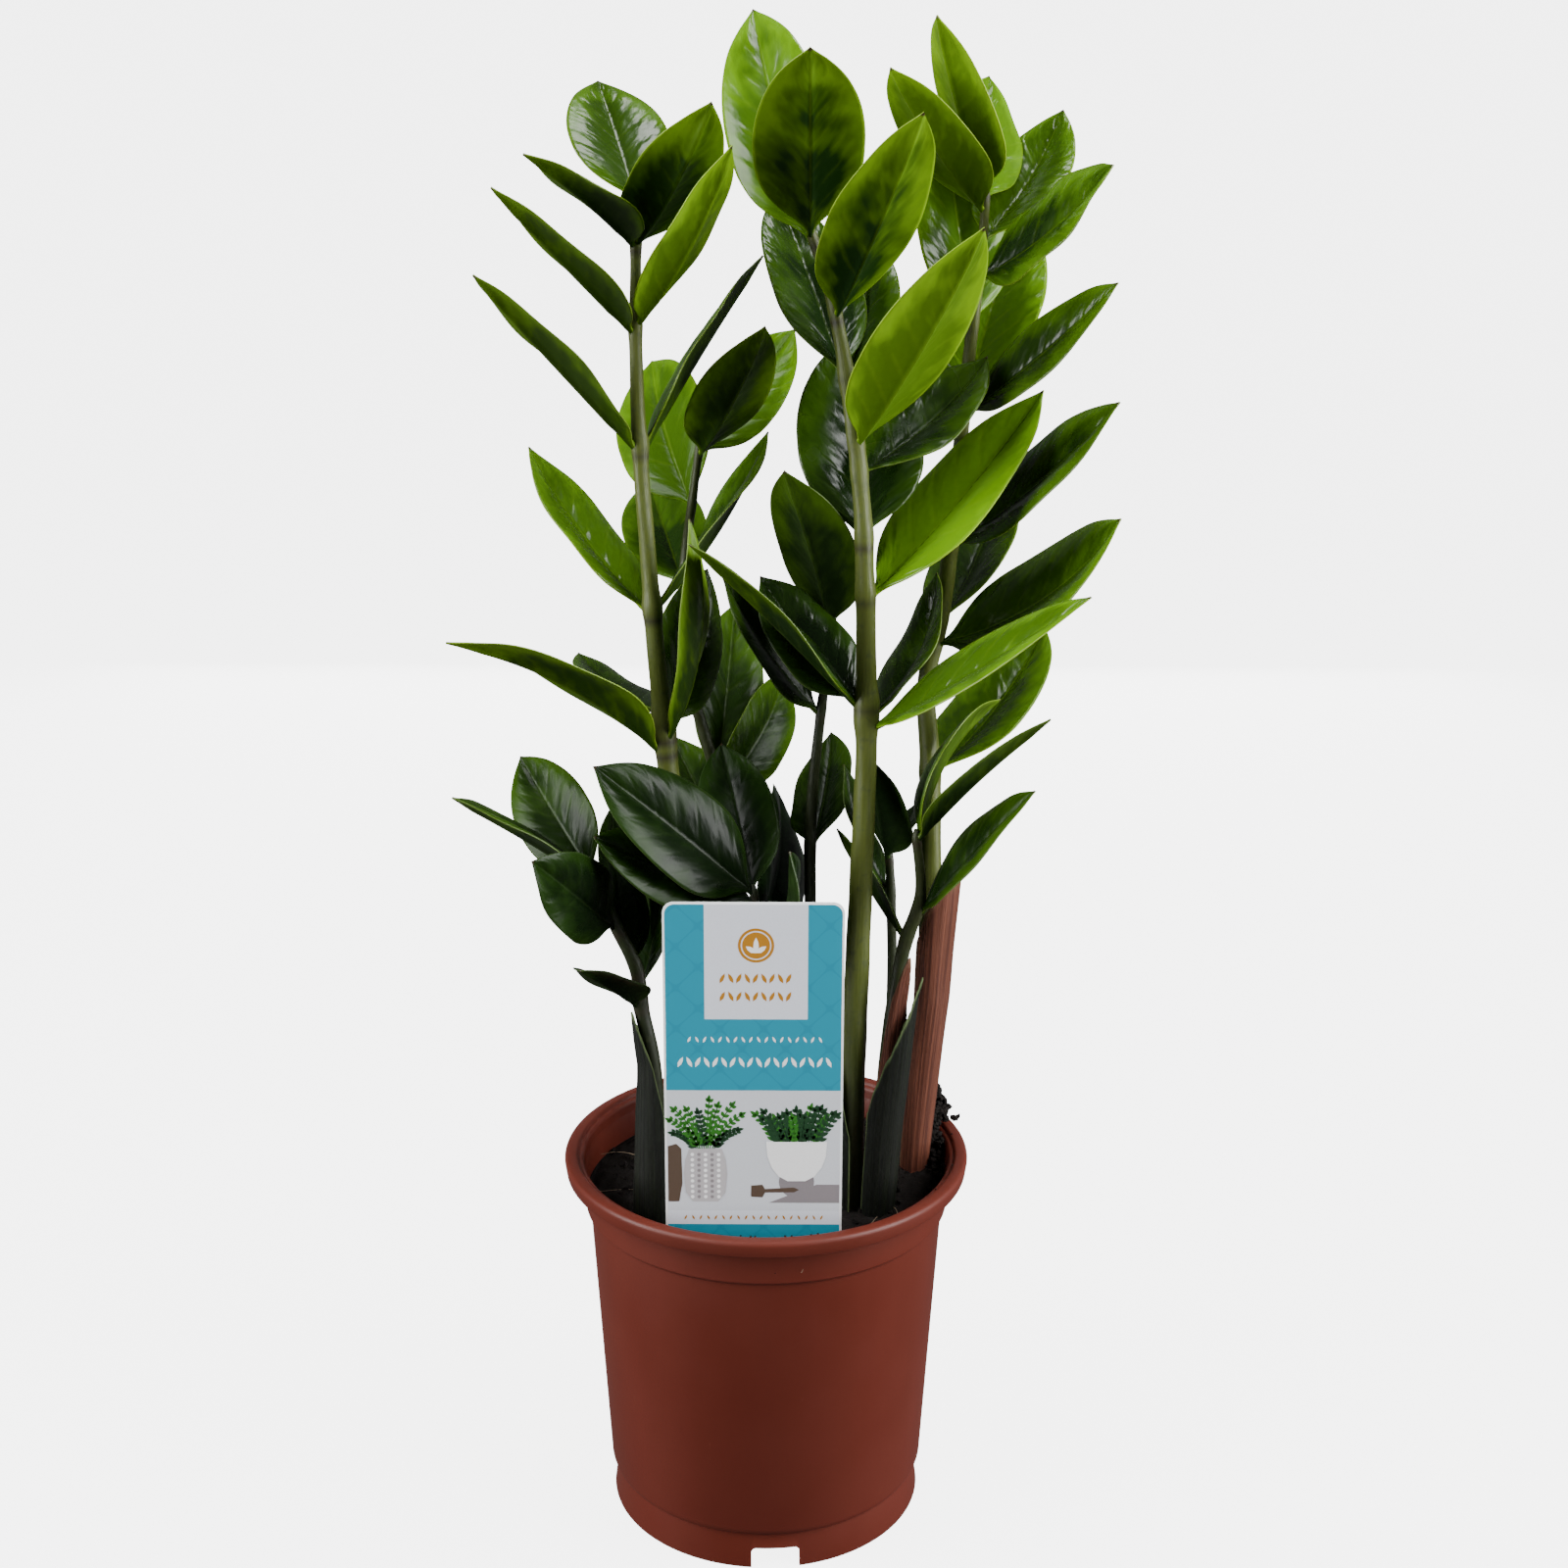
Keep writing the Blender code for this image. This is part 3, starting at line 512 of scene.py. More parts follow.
def peat_bed():
    top = [(SOIL_RADIUS * i / RINGS, SOIL_LEVEL) for i in range(RINGS + 1)]
    under = [(SOIL_RADIUS - 0.4 * MM, STEP_Z + 6.0 * MM), (BODY - WALL - 0.4 * MM, STEP_Z),
             (BASE - WALL - 0.4 * MM, FLOOR_Z + WALL + 7.0 * MM),
             (BASE - WALL - 3.4 * MM, FLOOR_Z + WALL + 0.4 * MM), (0.0, FLOOR_Z + WALL + 0.4 * MM)]
    bm = spin_outline(top + under, SPIN_STEPS)
    for vert in bm.verts:
        x, y, z = vert.co
        reach = math.hypot(x, y)
        if z < SOIL_LEVEL - 1e-4:
            continue
        ease = min(1.0, (SOIL_RADIUS - reach) / (5 * MM))
        vert.co.z += heap(x, y) + rough(x, y) * (0.25 + 0.75 * ease) - 2.0 * MM * (1 - ease)
        if reach > SOIL_RADIUS - 0.8 * MM:
            vert.co.x *= (SOIL_RADIUS - 0.4 * MM) / reach
            vert.co.y *= (SOIL_RADIUS - 0.4 * MM) / reach
    bmesh.ops.translate(bm, verts=bm.verts, vec=POT_AXIS)
    return bm


def peat_finish():
    finish, tree, shader = new_finish("dark_peat", 0.95, Specular_IOR_Level=0.25)
    where = on_object(tree)
    clods = speckle(where, 220.0, 5.0, 0.65)
    bits = fade(speckle(where, 700.0, 3.0, 0.6), 0.62, 0.74)
    tone = blend(clods, (0.0018, 0.0013, 0.0011), (0.0095, 0.0062, 0.0045))
    tone = blend(bits * 0.5, tone, (0.030, 0.017, 0.010))
    dress(shader, tone, None, clods + bits * 0.3, 0.0012, 0.9)
    return finish


peat = peat_finish()
bed = new_object(peat_bed(), "peat_bed", [peat])
print("the peat bed has", len(bed.data.polygons), "faces")

# %% Crumbs and root fibres
CRUMBS, RIDGE_CRUMBS, PILE_CRUMBS = 520, 190, 330
CRUMB_SIZES = (0.5, 0.6, 0.8, 1.0, 1.3, 1.9)
RIDGE_TURN, RIDGE_SPREAD, RIDGE_REACH = 19, 11, 26
RIDGE_DEPTH, RIDGE_LIFT = 9.0, 6.5 * MM
PILE_X, PILE_Y, PILE_HEIGHT, PILE_RADIUS = 73.5 * MM, 28.0 * MM, 16.5 * MM, 8.5 * MM
PILE_FOOT = 6.0 * MM
LIP_SPECKS = (-96, -94.5, -93, -84, -83, -77, -75.5, -30, -12, 8, 20, 24)


def crumb(bm, spot, size):
    """One lump: a small ball with every corner pushed in or out."""
    made = bmesh.ops.create_icosphere(bm, subdivisions=1, radius=size)["verts"]
    for vert in made:
        vert.co *= rng.uniform(0.65, 1.3)
    turn = Matrix.Rotation(rng.uniform(0, 6.28), 4, "Z")
    turn = turn @ Matrix.Rotation(rng.uniform(0, 3), 4, "X")
    flat = Matrix.Diagonal((1.0, rng.uniform(0.6, 1.0), rng.uniform(0.5, 0.9), 1.0))
    bmesh.ops.transform(bm, matrix=Matrix.Translation(spot) @ turn @ flat, verts=made)


crumbs_bm = bmesh.new()
for i in range(CRUMBS):
    reach, turn = SOIL_RADIUS * math.sqrt(rng.random()) * 0.985, rng.uniform(0, 2 * math.pi)
    x, y = reach * math.cos(turn), reach * math.sin(turn)
    size = rng.choice(CRUMB_SIZES) * MM
    place = POT_AXIS + Vector((x, y, SOIL_LEVEL + heap(x, y) + rough(x, y) + 0.3 * size))
    crumb(crumbs_bm, place, size)
# A ridge of clods that was pressed up against the wall at the back right, up to the rim.
for i in range(RIDGE_CRUMBS):
    turn = math.radians(rng.gauss(RIDGE_TURN, RIDGE_SPREAD))
    reach = SOIL_RADIUS - rng.uniform(0.0, RIDGE_DEPTH) * MM
    x, y = reach * math.cos(turn), reach * math.sin(turn)
    aside = abs(turn - math.radians(RIDGE_TURN)) / math.radians(RIDGE_REACH)
    lift = RIDGE_LIFT * max(0.0, 1 - aside) * rng.uniform(0, 1)
    place = POT_AXIS + Vector((x, y, SOIL_LEVEL + heap(x, y) + lift))
    crumb(crumbs_bm, place, rng.uniform(0.9, 2.3) * MM)
# A pile of clods that leans on the lip there and stands above it.
for i in range(PILE_CRUMBS):
    away = abs(rng.gauss(0, 3.1)) * MM
    turn = rng.uniform(0, 2 * math.pi)
    x, y = PILE_X + away * math.cos(turn), PILE_Y + 1.5 * away * math.sin(turn)
    tall = PILE_HEIGHT * max(0.0, 1 - away / PILE_RADIUS)
    place = POT_AXIS + Vector((x, y, POT_TOP - PILE_FOOT + (tall + PILE_FOOT) * rng.random()))
    crumb(crumbs_bm, place, rng.uniform(0.9, 2.4) * MM)
# Specks that dropped on the lip in front of the label and at the right.
for turn in LIP_SPECKS:
    angle = math.radians(turn + rng.uniform(-0.8, 0.8))
    reach = RIM - rng.uniform(4.5, 6.0) * MM
    place = POT_AXIS + Vector((reach * math.cos(angle), reach * math.sin(angle), POT_TOP))
    crumb(crumbs_bm, place, rng.uniform(0.5, 0.9) * MM)
crumbs = new_object(crumbs_bm, "peat_crumbs", [peat])
crumbs.data.shade_flat()

fibre_finish, fibre_tree, fibre_shader = new_finish("root_fibre", 0.7)
dress(fibre_shader, blend(speckle(on_object(fibre_tree), 400.0), (0.16, 0.10, 0.06),
                          (0.34, 0.27, 0.18)))


def fibre(spot, heading, length, lift, thick):
    """A thin root lying on the peat, as a bent tube."""
    bm, across, along = flat_grid(6, 14, "fibre")
    turn = math.pi * (across + 1)
    head = np.array((math.cos(heading), math.sin(heading), 0.0))
    side = np.array((-math.sin(heading), math.cos(heading), 0.0))
    up = np.array((0.0, 0.0, 1.0))
    line = (np.array(spot) + np.outer(along * length, head)
            + np.outer(0.12 * length * np.sin(3.0 * along + spot[0] * 900), side)
            + np.outer(lift * np.sin(math.pi * along), up))
    ring = np.outer(np.cos(turn), side) + np.outer(np.sin(turn), up)
    move_to(bm.verts, line + thick * (1 - 0.6 * along)[:, None] * ring)
    bmesh.ops.remove_doubles(bm, verts=bm.verts, dist=1e-7)
    bmesh.ops.holes_fill(bm, edges=[e for e in bm.edges if e.is_boundary])
    bmesh.ops.recalc_face_normals(bm, faces=bm.faces)
    return new_object(bm, "fibre", [fibre_finish])


fibres = []
for i in range(26):
    reach, turn = SOIL_RADIUS * rng.uniform(0.2, 0.88), rng.uniform(0, 2 * math.pi)
    if i < 3:
        reach, turn = 0.72 * SOIL_RADIUS, math.radians((-150, -25, 5)[i])
    x, y = reach * math.cos(turn), reach * math.sin(turn)
    spot = POT_AXIS + Vector((x, y, SOIL_LEVEL + heap(x, y) + rough(x, y) + 0.4 * MM))
    fibres.append(fibre(spot, rng.uniform(0, 6.28), rng.uniform(7, 20) * MM,
                        rng.uniform(0.4, 2.5) * MM, rng.uniform(0.12, 0.26) * MM))
finish_piece(bed, "soil", "soil")
finish_piece(crumbs, "soil")
finish_piece(joined("root_fibres", fibres), "soil")
print(CRUMBS, "crumbs and", len(fibres), "fibres lie on the peat")

# %% [markdown]
# ## Where the stems and leaflets are
# The plant's own table, the same as the solid model's: for each stem its centreline, and for
# each leaflet where it leaves the stem, where it points and how it rolls and arches. Short rows
# like these are easier to read and to change than sixty modelled leaves.

# %% The table of the plant
# Stem stations: x and y from the pot's axis, height above the peat and radius, in mm.
STEMS = {
    "left": (
        (-24, -15, 0, 5.2), (-27, -15, 55, 5.4), (-29, -15, 110, 5.1), (-33, -15, 145, 4.8),
        (-38, -15, 180, 4.3), (-42, -15, 223, 3.6), (-45, -14, 265, 3.2), (-48, -14, 311, 2.9),
        (-49, -13, 355, 2.4), (-48, -12, 407, 1.6),
    ),
    "center": (
        (35, -20, 0, 5.2), (36, -20, 86, 5.1), (38, -20, 145, 4.6), (39, -20, 205, 4.1),
        (38, -20, 259, 3.7), (36, -19, 295, 3.3), (31, -18, 334, 2.9), (25, -17, 366, 2.3),
        (15, -16, 397, 1.5),
    ),
    "right": (
        (62, 6, 0, 5.0), (67, 10, 82, 4.8), (68, 14, 134, 4.4), (67, 18, 177, 4.2),
        (65, 21, 216, 3.7), (71, 22, 247, 3.4), (75, 23, 295, 3.0), (79, 25, 345, 2.5),
        (83, 27, 385, 1.8), (84, 28, 411, 1.4),
    ),
    "rear": (
        (-10, 24, 0, 3.4), (-14, 26, 95, 3.2), (-17, 27, 155, 2.6), (-26, 28, 190, 2.3),
        (-33, 28, 215, 2.2), (-34, 28, 255, 2.0), (-29, 28, 295, 1.6), (-26, 28, 317, 1.3),
    ),
    "thin": (
        (14, 8, 0, 2.8), (18, 8, 85, 2.5), (19, 8, 177, 2.2), (22, 8, 207, 1.9), (27, 8, 245, 1.3),
    ),
    "middle": ((0, -20, 0, 2.6), (-2, -20, 75, 2.3), (-5, -20, 141, 1.5)),
    "slim": ((48, 2, 0, 2.4), (52, 4, 95, 2.0), (51, 5, 131, 1.9), (50, 6, 149, 1.5)),
    "front": (
        (46, -24, 0, 3.2), (52, -23, 95, 2.9), (56, -22, 118, 2.6), (61, -22, 134, 2.3),
        (59, -22, 165, 1.6),
    ),
    "edge": (
        (-45, -24, 0, 3.4), (-46, -23, 65, 3.2), (-51, -22, 93, 2.9), (-52, -22, 105, 2.6),
        (-60, -22, 124, 2.2), (-69, -22, 148, 1.4),
    ),
}
# Leaflets: name, height on the stem (mm), heading and rise (degrees; heading 0 is to the right
# and 90 to the back), length and width (mm), roll, arch and twist (degrees).
LEAFLETS = {
    "left": (
        ("leaf_tip", 405, 110, 41, 64, 39, 0, 6, 0),
        ("leaf_01", 389, -122, 27, 70, 34, -12, 12, 0),
        ("leaf_02", 390, -58, 42, 72, 32, -12, -24, 0),
        ("leaf_03", 358, -131, 38, 84, 34, -12, 0, 0),
        ("leaf_04", 361, -53, 47, 86, 32, 18, -18, 0),
        ("leaf_05", 315, -134, 42, 98, 32, -12, 0, 20),
        ("leaf_06", 315, 46, 47, 92, 36, -36, 6, 0),
        ("leaf_07", 251, 141, 43, 84, 38, 12, -18, 0),
        ("leaf_08", 253, 47, 45, 86, 30, -36, -18, 40),
        ("leaf_09", 197, -144, 31, 104, 38, 12, 30, 0),
        ("leaf_10", 203, -56, 80, 88, 28, 36, -42, 0),
        ("leaf_11", 210, 124, 10, 64, 30, 18, -24, 0),
        ("leaf_12", 205, 73, 47, 72, 35, 60, -12, 0),
    ),
    "center": (
        ("leaf_01", 392, 113, 56, 98, 40, -42, 24, 0),
        ("leaf_02", 394, -91, 44, 88, 40, 6, 6, 0),
        ("leaf_03", 365, -65, 48, 94, 37, 0, -6, 0),
        ("leaf_04", 318, -52, 51, 102, 42, -4, -12, 0),
        ("leaf_05", 259, 27, 45, 104, 42, 12, -12, 0),
        ("leaf_06", 207, -28, 35, 104, 35, 24, -6, 0),
        ("leaf_07", 216, -162, 45, 93, 36, -6, 6, 30),
        ("leaf_08", 343, 115, 47, 86, 37, 0, 6, 0),
        ("leaf_09", 339, 76, 48, 66, 30, 0, -6, 0),
        ("leaf_10", 281, 93, 54, 88, 50, 6, 0, 0),
        ("leaf_11", 210, 53, 49, 66, 33, -30, -48, 0),
        ("leaf_12", 306, 35, 34, 70, 38, 12, -30, 0),
        ("leaf_13", 217, 153, 47, 61, 32, -30, -24, 0),
    ),
    "right": (
        ("leaf_tip", 411, -120, 54, 74, 38, -30, -6, 0),
        ("leaf_01", 401, -136, 44, 72, 33, 6, -12, 0),
        ("leaf_02", 405, 85, 47, 62, 32, 36, -12, 0),
        ("leaf_03", 390, 46, 46, 66, 37, 8, -30, 0),
        ("leaf_04", 375, -49, 34, 76, 38, 54, -24, 0),
        ("leaf_05", 357, 107, 65, 86, 40, 5, 6, 0),
        ("leaf_06", 329, 68, 44, 94, 44, 0, 12, 0),
        ("leaf_07", 324, -39, 39, 82, 30, 54, -12, 0),
        ("leaf_08", 272, -37, 41, 92, 40, 42, -18, 0),
        ("leaf_09", 231, -29, 38, 92, 49, 36, -48, 0),
        ("leaf_10", 240, 67, 35, 84, 42, -24, -30, 0),
        ("leaf_11", 177, 51, 31, 92, 42, -6, -30, 0),
    ),
    "rear": (
        ("a", 307, -57, 48, 70, 32, -6, -18, 0),
        ("b", 286, 106, 36, 84, 42, -42, 30, 0),
        ("c", 253, 104, 23, 78, 35, -18, 12, 0),
        ("d", 307, 52, 36, 74, 30, 42, -18, 0),
        ("f", 171, 84, 47, 84, 32, 30, 6, 0),
        ("g", 167, 58, 39, 60, 30, 72, 42, 0),
        ("h", 146, 114, 25, 66, 32, -6, -18, 0),
    ),
    "thin": (
        ("a", 242, -125, 63, 72, 38, 0, 12, 0),
        ("c", 206, -169, 56, 66, 33, -30, -18, 0),
        ("d", 148, 81, 33, 62, 30, -30, -18, 0),
    ),
    "middle": (
        ("a", 141, -167, 42, 82, 40, -54, 6, 0),
        ("b", 135, -163, 27, 70, 33, -54, -12, 0),
        ("c", 119, 85, 29, 84, 45, 72, 30, 0),
        ("d", 105, -64, 66, 64, 36, -114, 36, 0),
        ("e", 140, 107, 46, 66, 32, -12, 12, 0),
    ),
    "slim": (
        ("a", 146, -112, 66, 50, 31, -30, 0, 0),
        ("b", 147, 71, 12, 40, 18, -36, -12, 0),
        ("c", 130, 139, 65, 54, 26, 24, -30, 0),
    ),
    "front": (
        ("a", 165, -26, 46, 74, 30, -6, 12, 0),
        ("b", 132, -29, 51, 72, 30, 30, 6, 0),
        ("c", 165, 40, 48, 64, 38, -42, 48, 0),
        ("d", 120, 124, 35, 56, 22, 60, -6, 0),
    ),
    "edge": (
        ("a", 148, 127, 34, 64, 32, -48, 12, 0),
        ("b", 145, -154, 36, 68, 28, 0, 6, 0),
        ("c", 125, -125, 41, 60, 32, -90, 6, 0),
        ("d", 92, -122, 36, 44, 28, 6, 12, 0),
        ("e", 107, 103, 46, 72, 28, 42, -18, 0),
        ("f", 97, 80, 45, 66, 28, -42, -18, 0),
    ),
}
TALL = ("left", "center", "right")
# How fresh and how lit the growth is, at the stem's foot and at its top: 0 is old and dark, 1 new
# and bright. The darkness is partly painted shade: the feet and the short shoots under the fronds
# are kept low.
FRESHNESS_AND_LIGHT = {
    "left": (0.15, 0.95), "center": (0.15, 1.0), "right": (0.20, 1.0), "rear": (0.0, 0.42),
    "thin": (0.0, 0.10), "middle": (0.0, 0.06), "slim": (0.0, 0.10), "front": (0.02, 0.30),
    "edge": (0.0, 0.12),
}
# For the same leaflets, in the same order: how fresh and how lit, and how dark the core is (0 to
# 1);
# the dark core is painted shade. The leaflets that are left out follow their stem.
LEAF_FRESHNESS_AND_SHADE = {
    "left": ((0.40, 0.70), (0.42, 0.80), (0.72, 0.95), (0.40, 0.75), (0.85, 0.60),
        (0.34, 0.75), (0.50, 0.85), (0.80, 0.50), (0.40, 0.80), (0.55, 0.90), (0.50, 0.90),
        (0.30, 0.80), (0.25, 0.80)),
    "center": ((0.85, 0.65), (0.66, 1.00), (0.74, 1.00), (0.86, 0.60), (1.00, 0.15),
        (0.76, 0.60), (0.28, 0.95), (0.22, 0.95), (0.40, 0.85), (0.18, 0.90), (0.35, 0.90),
        (0.25, 0.90), (0.10, 0.90)),
    "right": ((0.95, 0.50), (0.90, 0.60), (0.85, 0.40), (0.60, 0.60), (0.60, 0.95),
        (0.90, 0.70), (0.92, 0.60), (0.50, 0.85), (0.38, 0.90), (0.60, 0.75), (0.40, 0.85),
        (0.62, 0.75)),
    "rear": ((0.50, 0.90), (0.65, 0.60), (0.40, 0.90), (0.75, 0.40)),
    "front": ((0.22, 0.90), (0.22, 0.90), (0.45, 0.60)),
}
# How strongly a blade is rippled between its side veins: 0 is smooth, 1 strongly puckered.
WAVES = {
    "left": {"leaf_01": 0.05, "leaf_03": 0.05, "leaf_05": 0.05, "leaf_08": 0.2, "leaf_09": 0.15,
             "leaf_tip": 0.6},
    "center": {"leaf_01": 0.35, "leaf_02": 0.25, "leaf_03": 0.35, "leaf_08": 0.9, "leaf_10": 0.9},
    "right": {"leaf_03": 1.0, "leaf_04": 0.8, "leaf_06": 0.9},
}
USUAL_WAVE, USUAL_CORE_SHADE = 0.5, 0.85


def stem_rows(name):
    """Stations of a stem in metres, the first one below the peat."""
    rows = np.array(STEMS[name], float) * MM
    foot = rows[0].copy()
    foot[:2] += (rows[0, :2] - rows[1, :2]) * 0.3
    foot[2] = -24.0 * MM
    rows = np.vstack([foot, rows])
    rows[:, 0] += POT_AXIS.x
    rows[:, 1] += POT_AXIS.y
    rows[:, 2] += SOIL_LEVEL
    return rows


def stem_at(name, height):
    """Centre and radius of a stem at a height above the peat, in mm."""
    rows = stem_rows(name)
    z = min(height, STEMS[name][-1][2] - 2) * MM + SOIL_LEVEL
    return np.array([np.interp(z, rows[:, 2], rows[:, i]) for i in range(4)])


print(len(STEMS), "stems, and the leaflets of", ", ".join(LEAFLETS))

# %% [markdown]
# ## Stems
# A frond's stalk is a smooth fleshy rod, thick at the peat and thinner upwards, with a slight
# swelling and a dark ring where each leaflet leaves it. A grid rolled up into a tube gives rows
# and columns along the stalk, so the streaks in its finish can run lengthwise.

# %% The stalk's finish
def stalk_finish():
    finish, tree, shader = new_finish("green_stalk", 0.45, Specular_IOR_Level=0.3)
    chart, _, _ = on_surface(tree, "stalk")
    fresh_and_lit, ring = marked(tree, "fresh_and_lit"), marked(tree, "ring")
    streak = speckle(chart, 9.0, 4.0, 0.6, (3.0, 1.6, 1.0))
    mottle = speckle(on_object(tree), 260.0, 3.0, 0.6)
    # Old dark and new bright tones, chosen by the mark, which is partly real age and partly painted
    # shade near the peat and on the short shoots.
    old = blend(streak, (0.006, 0.010, 0.004), (0.022, 0.028, 0.010))
    new = blend(streak, (0.040, 0.057, 0.009), (0.090, 0.106, 0.020))
    tone = blend(fade(fresh_and_lit, 0.0, 0.55), old, new)
    tone = blend(fade(mottle, 0.56, 0.70) * 0.35, tone, (0.030, 0.040, 0.014))
    tone = blend(ring * 0.85, tone, (0.022, 0.018, 0.010))
    dress(shader, tone, fade(mottle, 0.3, 0.7, 0.34, 0.50), streak + mottle * 0.5, 0.0004, 0.5)
    return finish


stalk_green = stalk_finish()


# %% Roll the stalks up
STALK_SIDES = 20
STALK_STEP = 3.0 * MM


def stalk(name):
    rows = stem_rows(name)
    steps = int((rows[-1, 2] - rows[0, 2]) / STALK_STEP)
    bm, across, along = flat_grid(STALK_SIDES, steps, "stalk")
    z = rows[0, 2] + along * (rows[-1, 2] - rows[0, 2])
    x, y, radius = (smooth_curve(z, rows[:, 2], rows[:, i]) for i in (0, 1, 3))
    ring = np.zeros(len(z))
    for leaf in LEAFLETS[name]:
        place = min(leaf[1], STEMS[name][-1][2] - 2) * MM + SOIL_LEVEL
        near = np.exp(-((z - place) / (4.5 * MM)) ** 2)
        radius = radius * (1 + 0.13 * near)
        ring = np.maximum(ring, np.exp(-((z - place + 4.0 * MM) / (0.9 * MM)) ** 2))
    top = rows[-1, 2] - z
    radius = radius * np.clip(top / (5 * MM), 0.12, 1.0) ** 0.5
    turn = math.pi * across
    wobble = 1 + 0.03 * np.sin(3 * turn + z * 60) + 0.02 * np.sin(z * 210 + turn)
    levels = np.unique(z)
    slope_x, slope_y = (
        np.interp(z, levels, np.gradient(smooth_curve(levels, rows[:, 2], rows[:, i]), levels))
        for i in (0, 1))
    out_x, out_y = radius * wobble * np.cos(turn), radius * wobble * np.sin(turn)
    points = np.stack([x + out_x, y + out_y, z - out_x * slope_x - out_y * slope_y], axis=1)
    low, high = FRESHNESS_AND_LIGHT[name]
    mark(bm, "ring", ring)
    # Painted shade: on the tall stalks the mark is lowered near the peat, so the foot is painted
    # darker, and it is raised higher up.
    risen = np.clip((z - SOIL_LEVEL - 20 * MM) / (95 * MM), 0.0, 1.0) ** 1.3
    mark(bm, "fresh_and_lit", 0.5 * (low + (high - low) * along) + (name in TALL) * (0.42 * risen - 0.05))
    move_to(bm.verts, points)
    bmesh.ops.remove_doubles(bm, verts=bm.verts, dist=1e-6)
    bmesh.ops.holes_fill(bm, edges=[e for e in bm.edges if e.is_boundary])
    bmesh.ops.recalc_face_normals(bm, faces=bm.faces)
    return new_object(bm, "stalk_" + name, [stalk_green])


stalks = {name: stalk(name) for name in STEMS}
for name in TALL:
    finish_piece(stalks[name], "stem", "stem_" + name)
print("stalks:", {name: len(made.data.vertices) for name, made in stalks.items()})

# %% [markdown]
# ## Leaflets
# A leaflet is thick and leathery: a sunk midrib on top that stands out below, side veins that
# make it look quilted, and a thin pale margin. The top is waxy and shines; the underside is
# paler and duller. Light and shade are painted on each blade: a dark core of painted shade and a
# brighter tip and margins. A flat slab of grid squares with a top, a bottom and a rim is moved to
# shape, so each of the three keeps its own finish. Short shoots stand in the shade: their tops
# are painted darker, as painted shade, and shine less.

# %% The leaflet's finishes: a glossy and a shaded top, an underside and a margin
VEINS = 7.5
VEIN_SLANT = 1.7
STALK_SHARE = 0.035


def vein_place(across, along):
    """Counts the side veins from base to tip: it grows by 1 from one vein to the next."""
    return (along * (1 + STALK_SHARE) - STALK_SHARE) * VEINS - across * VEIN_SLANT


def leaf_finish(name, roughness, tones, vein_tone, glossy, gloss=0.26, bumps=0.0011):
    """One side of a leaflet. tones are old core, old blade, fresh core and fresh blade; the core
    tones are painted shade and the blade tones are lit.
    """
    finish, tree, shader = new_finish(name, roughness, Specular_IOR_Level=gloss)
    _, x, along = on_surface(tree, "leaf")
    across = abs(x - 0.5) * 2.0
    fresh_and_lit, core_shade, wave = (marked(tree, key) for key in ("fresh_and_lit", "core_shade", "wave"))
    where = on_object(tree)
    cloud = speckle(where, 62.0, 1.0, 0.5)
    net = speckle(where, 420.0, 1.0, 0.5)
    place = vein_place(across, along)
    # Ripples that lie along the side veins: noise in vein coordinates.
    lean = add_node(tree, "CombineXYZ", place, x * 3.2, split(where)[2] * 14.0)
    ripple = speckle(Value(tree, lean.outputs[0]), 2.3, 1.0, 0.45)
    soft = speckle(where, 55.0, 0.0)
    off = abs(calc("FRACT", place + 10.0) - 0.5)
    veins = fade(off, 0.0, 0.16, 1.0, 0.0) * fade(ripple, 0.35, 0.65)
    rib = fade(across, 0.010, 0.034, 1.0, 0.0)
    # Painted light and shade: the blade is painted brighter towards its tip and its margins and on
    # the ripples, and where the core mark is high the base and the middle keep the dark core tone,
    # as painted shade.
    light = fade(along, 0.30, 1.0) * 0.62 + fade(across, 0.32, 1.0) * 0.70
    light = light + fade(cloud, 0.3, 0.7, -0.22, 0.22)
    light = calc("ADD", light, fade(ripple, 0.3, 0.7, -0.10, 0.10), clamp=True)
    light = calc("MAXIMUM", light, 1.0 - core_shade)
    tone = blend(fresh_and_lit, blend(light, *tones[:2]), blend(light, *tones[2:]))
    pale = blend(fresh_and_lit, (0.016, 0.034, 0.012), vein_tone)
    tone = blend(veins * 0.10, tone, pale)
    tone = blend(rib * (0.20 if glossy else 0.16), tone, pale)
    tone = blend(fade(across, 0.93, 1.0) * 0.45, tone, pale)
    tone = blend(fade(net, 0.45, 0.75) * 0.06, tone, tones[0])
    tone = blend(fade(along, 0.978, 0.992), tone, (0.030, 0.018, 0.008))
    rough = fade(cloud, 0.25, 0.75, roughness + 0.02, roughness + 0.13) - fresh_and_lit * 0.05
    height = ripple + soft * 0.7 - veins * (0.25 if glossy else -0.08)
    dress(shader, tone, rough, height * wave, bumps, 0.8 if glossy else 0.55)
    return finish


# Tones of a fresh top: a core in painted shade and a lit blade.
FRESH_LIT_TOP = ((0.0060, 0.0250, 0.0020), (0.1150, 0.2650, 0.0020))
TOP_VEIN = (0.200, 0.330, 0.014)
leaf_top = leaf_finish("waxy_leaf_top", 0.17, (
    (0.0014, 0.0052, 0.0014), (0.0065, 0.0225, 0.0030), *FRESH_LIT_TOP), TOP_VEIN, True)
# The short shoots' top is a darker copy of the waxy top: its darker old tones are painted shade.
shaded_top = leaf_finish("shaded_leaf_top", 0.24, (
    (0.0010, 0.0034, 0.0011), (0.0050, 0.0165, 0.0026), *FRESH_LIT_TOP), TOP_VEIN, True, 0.12, 0.0007)
leaf_under = leaf_finish("dull_leaf_underside", 0.38, (
    (0.0018, 0.0062, 0.0014), (0.0080, 0.0250, 0.0030),
    (0.0068, 0.0280, 0.0020), (0.1650, 0.3250, 0.0030)), (0.230, 0.370, 0.014), False, 0.20, 0.0006)
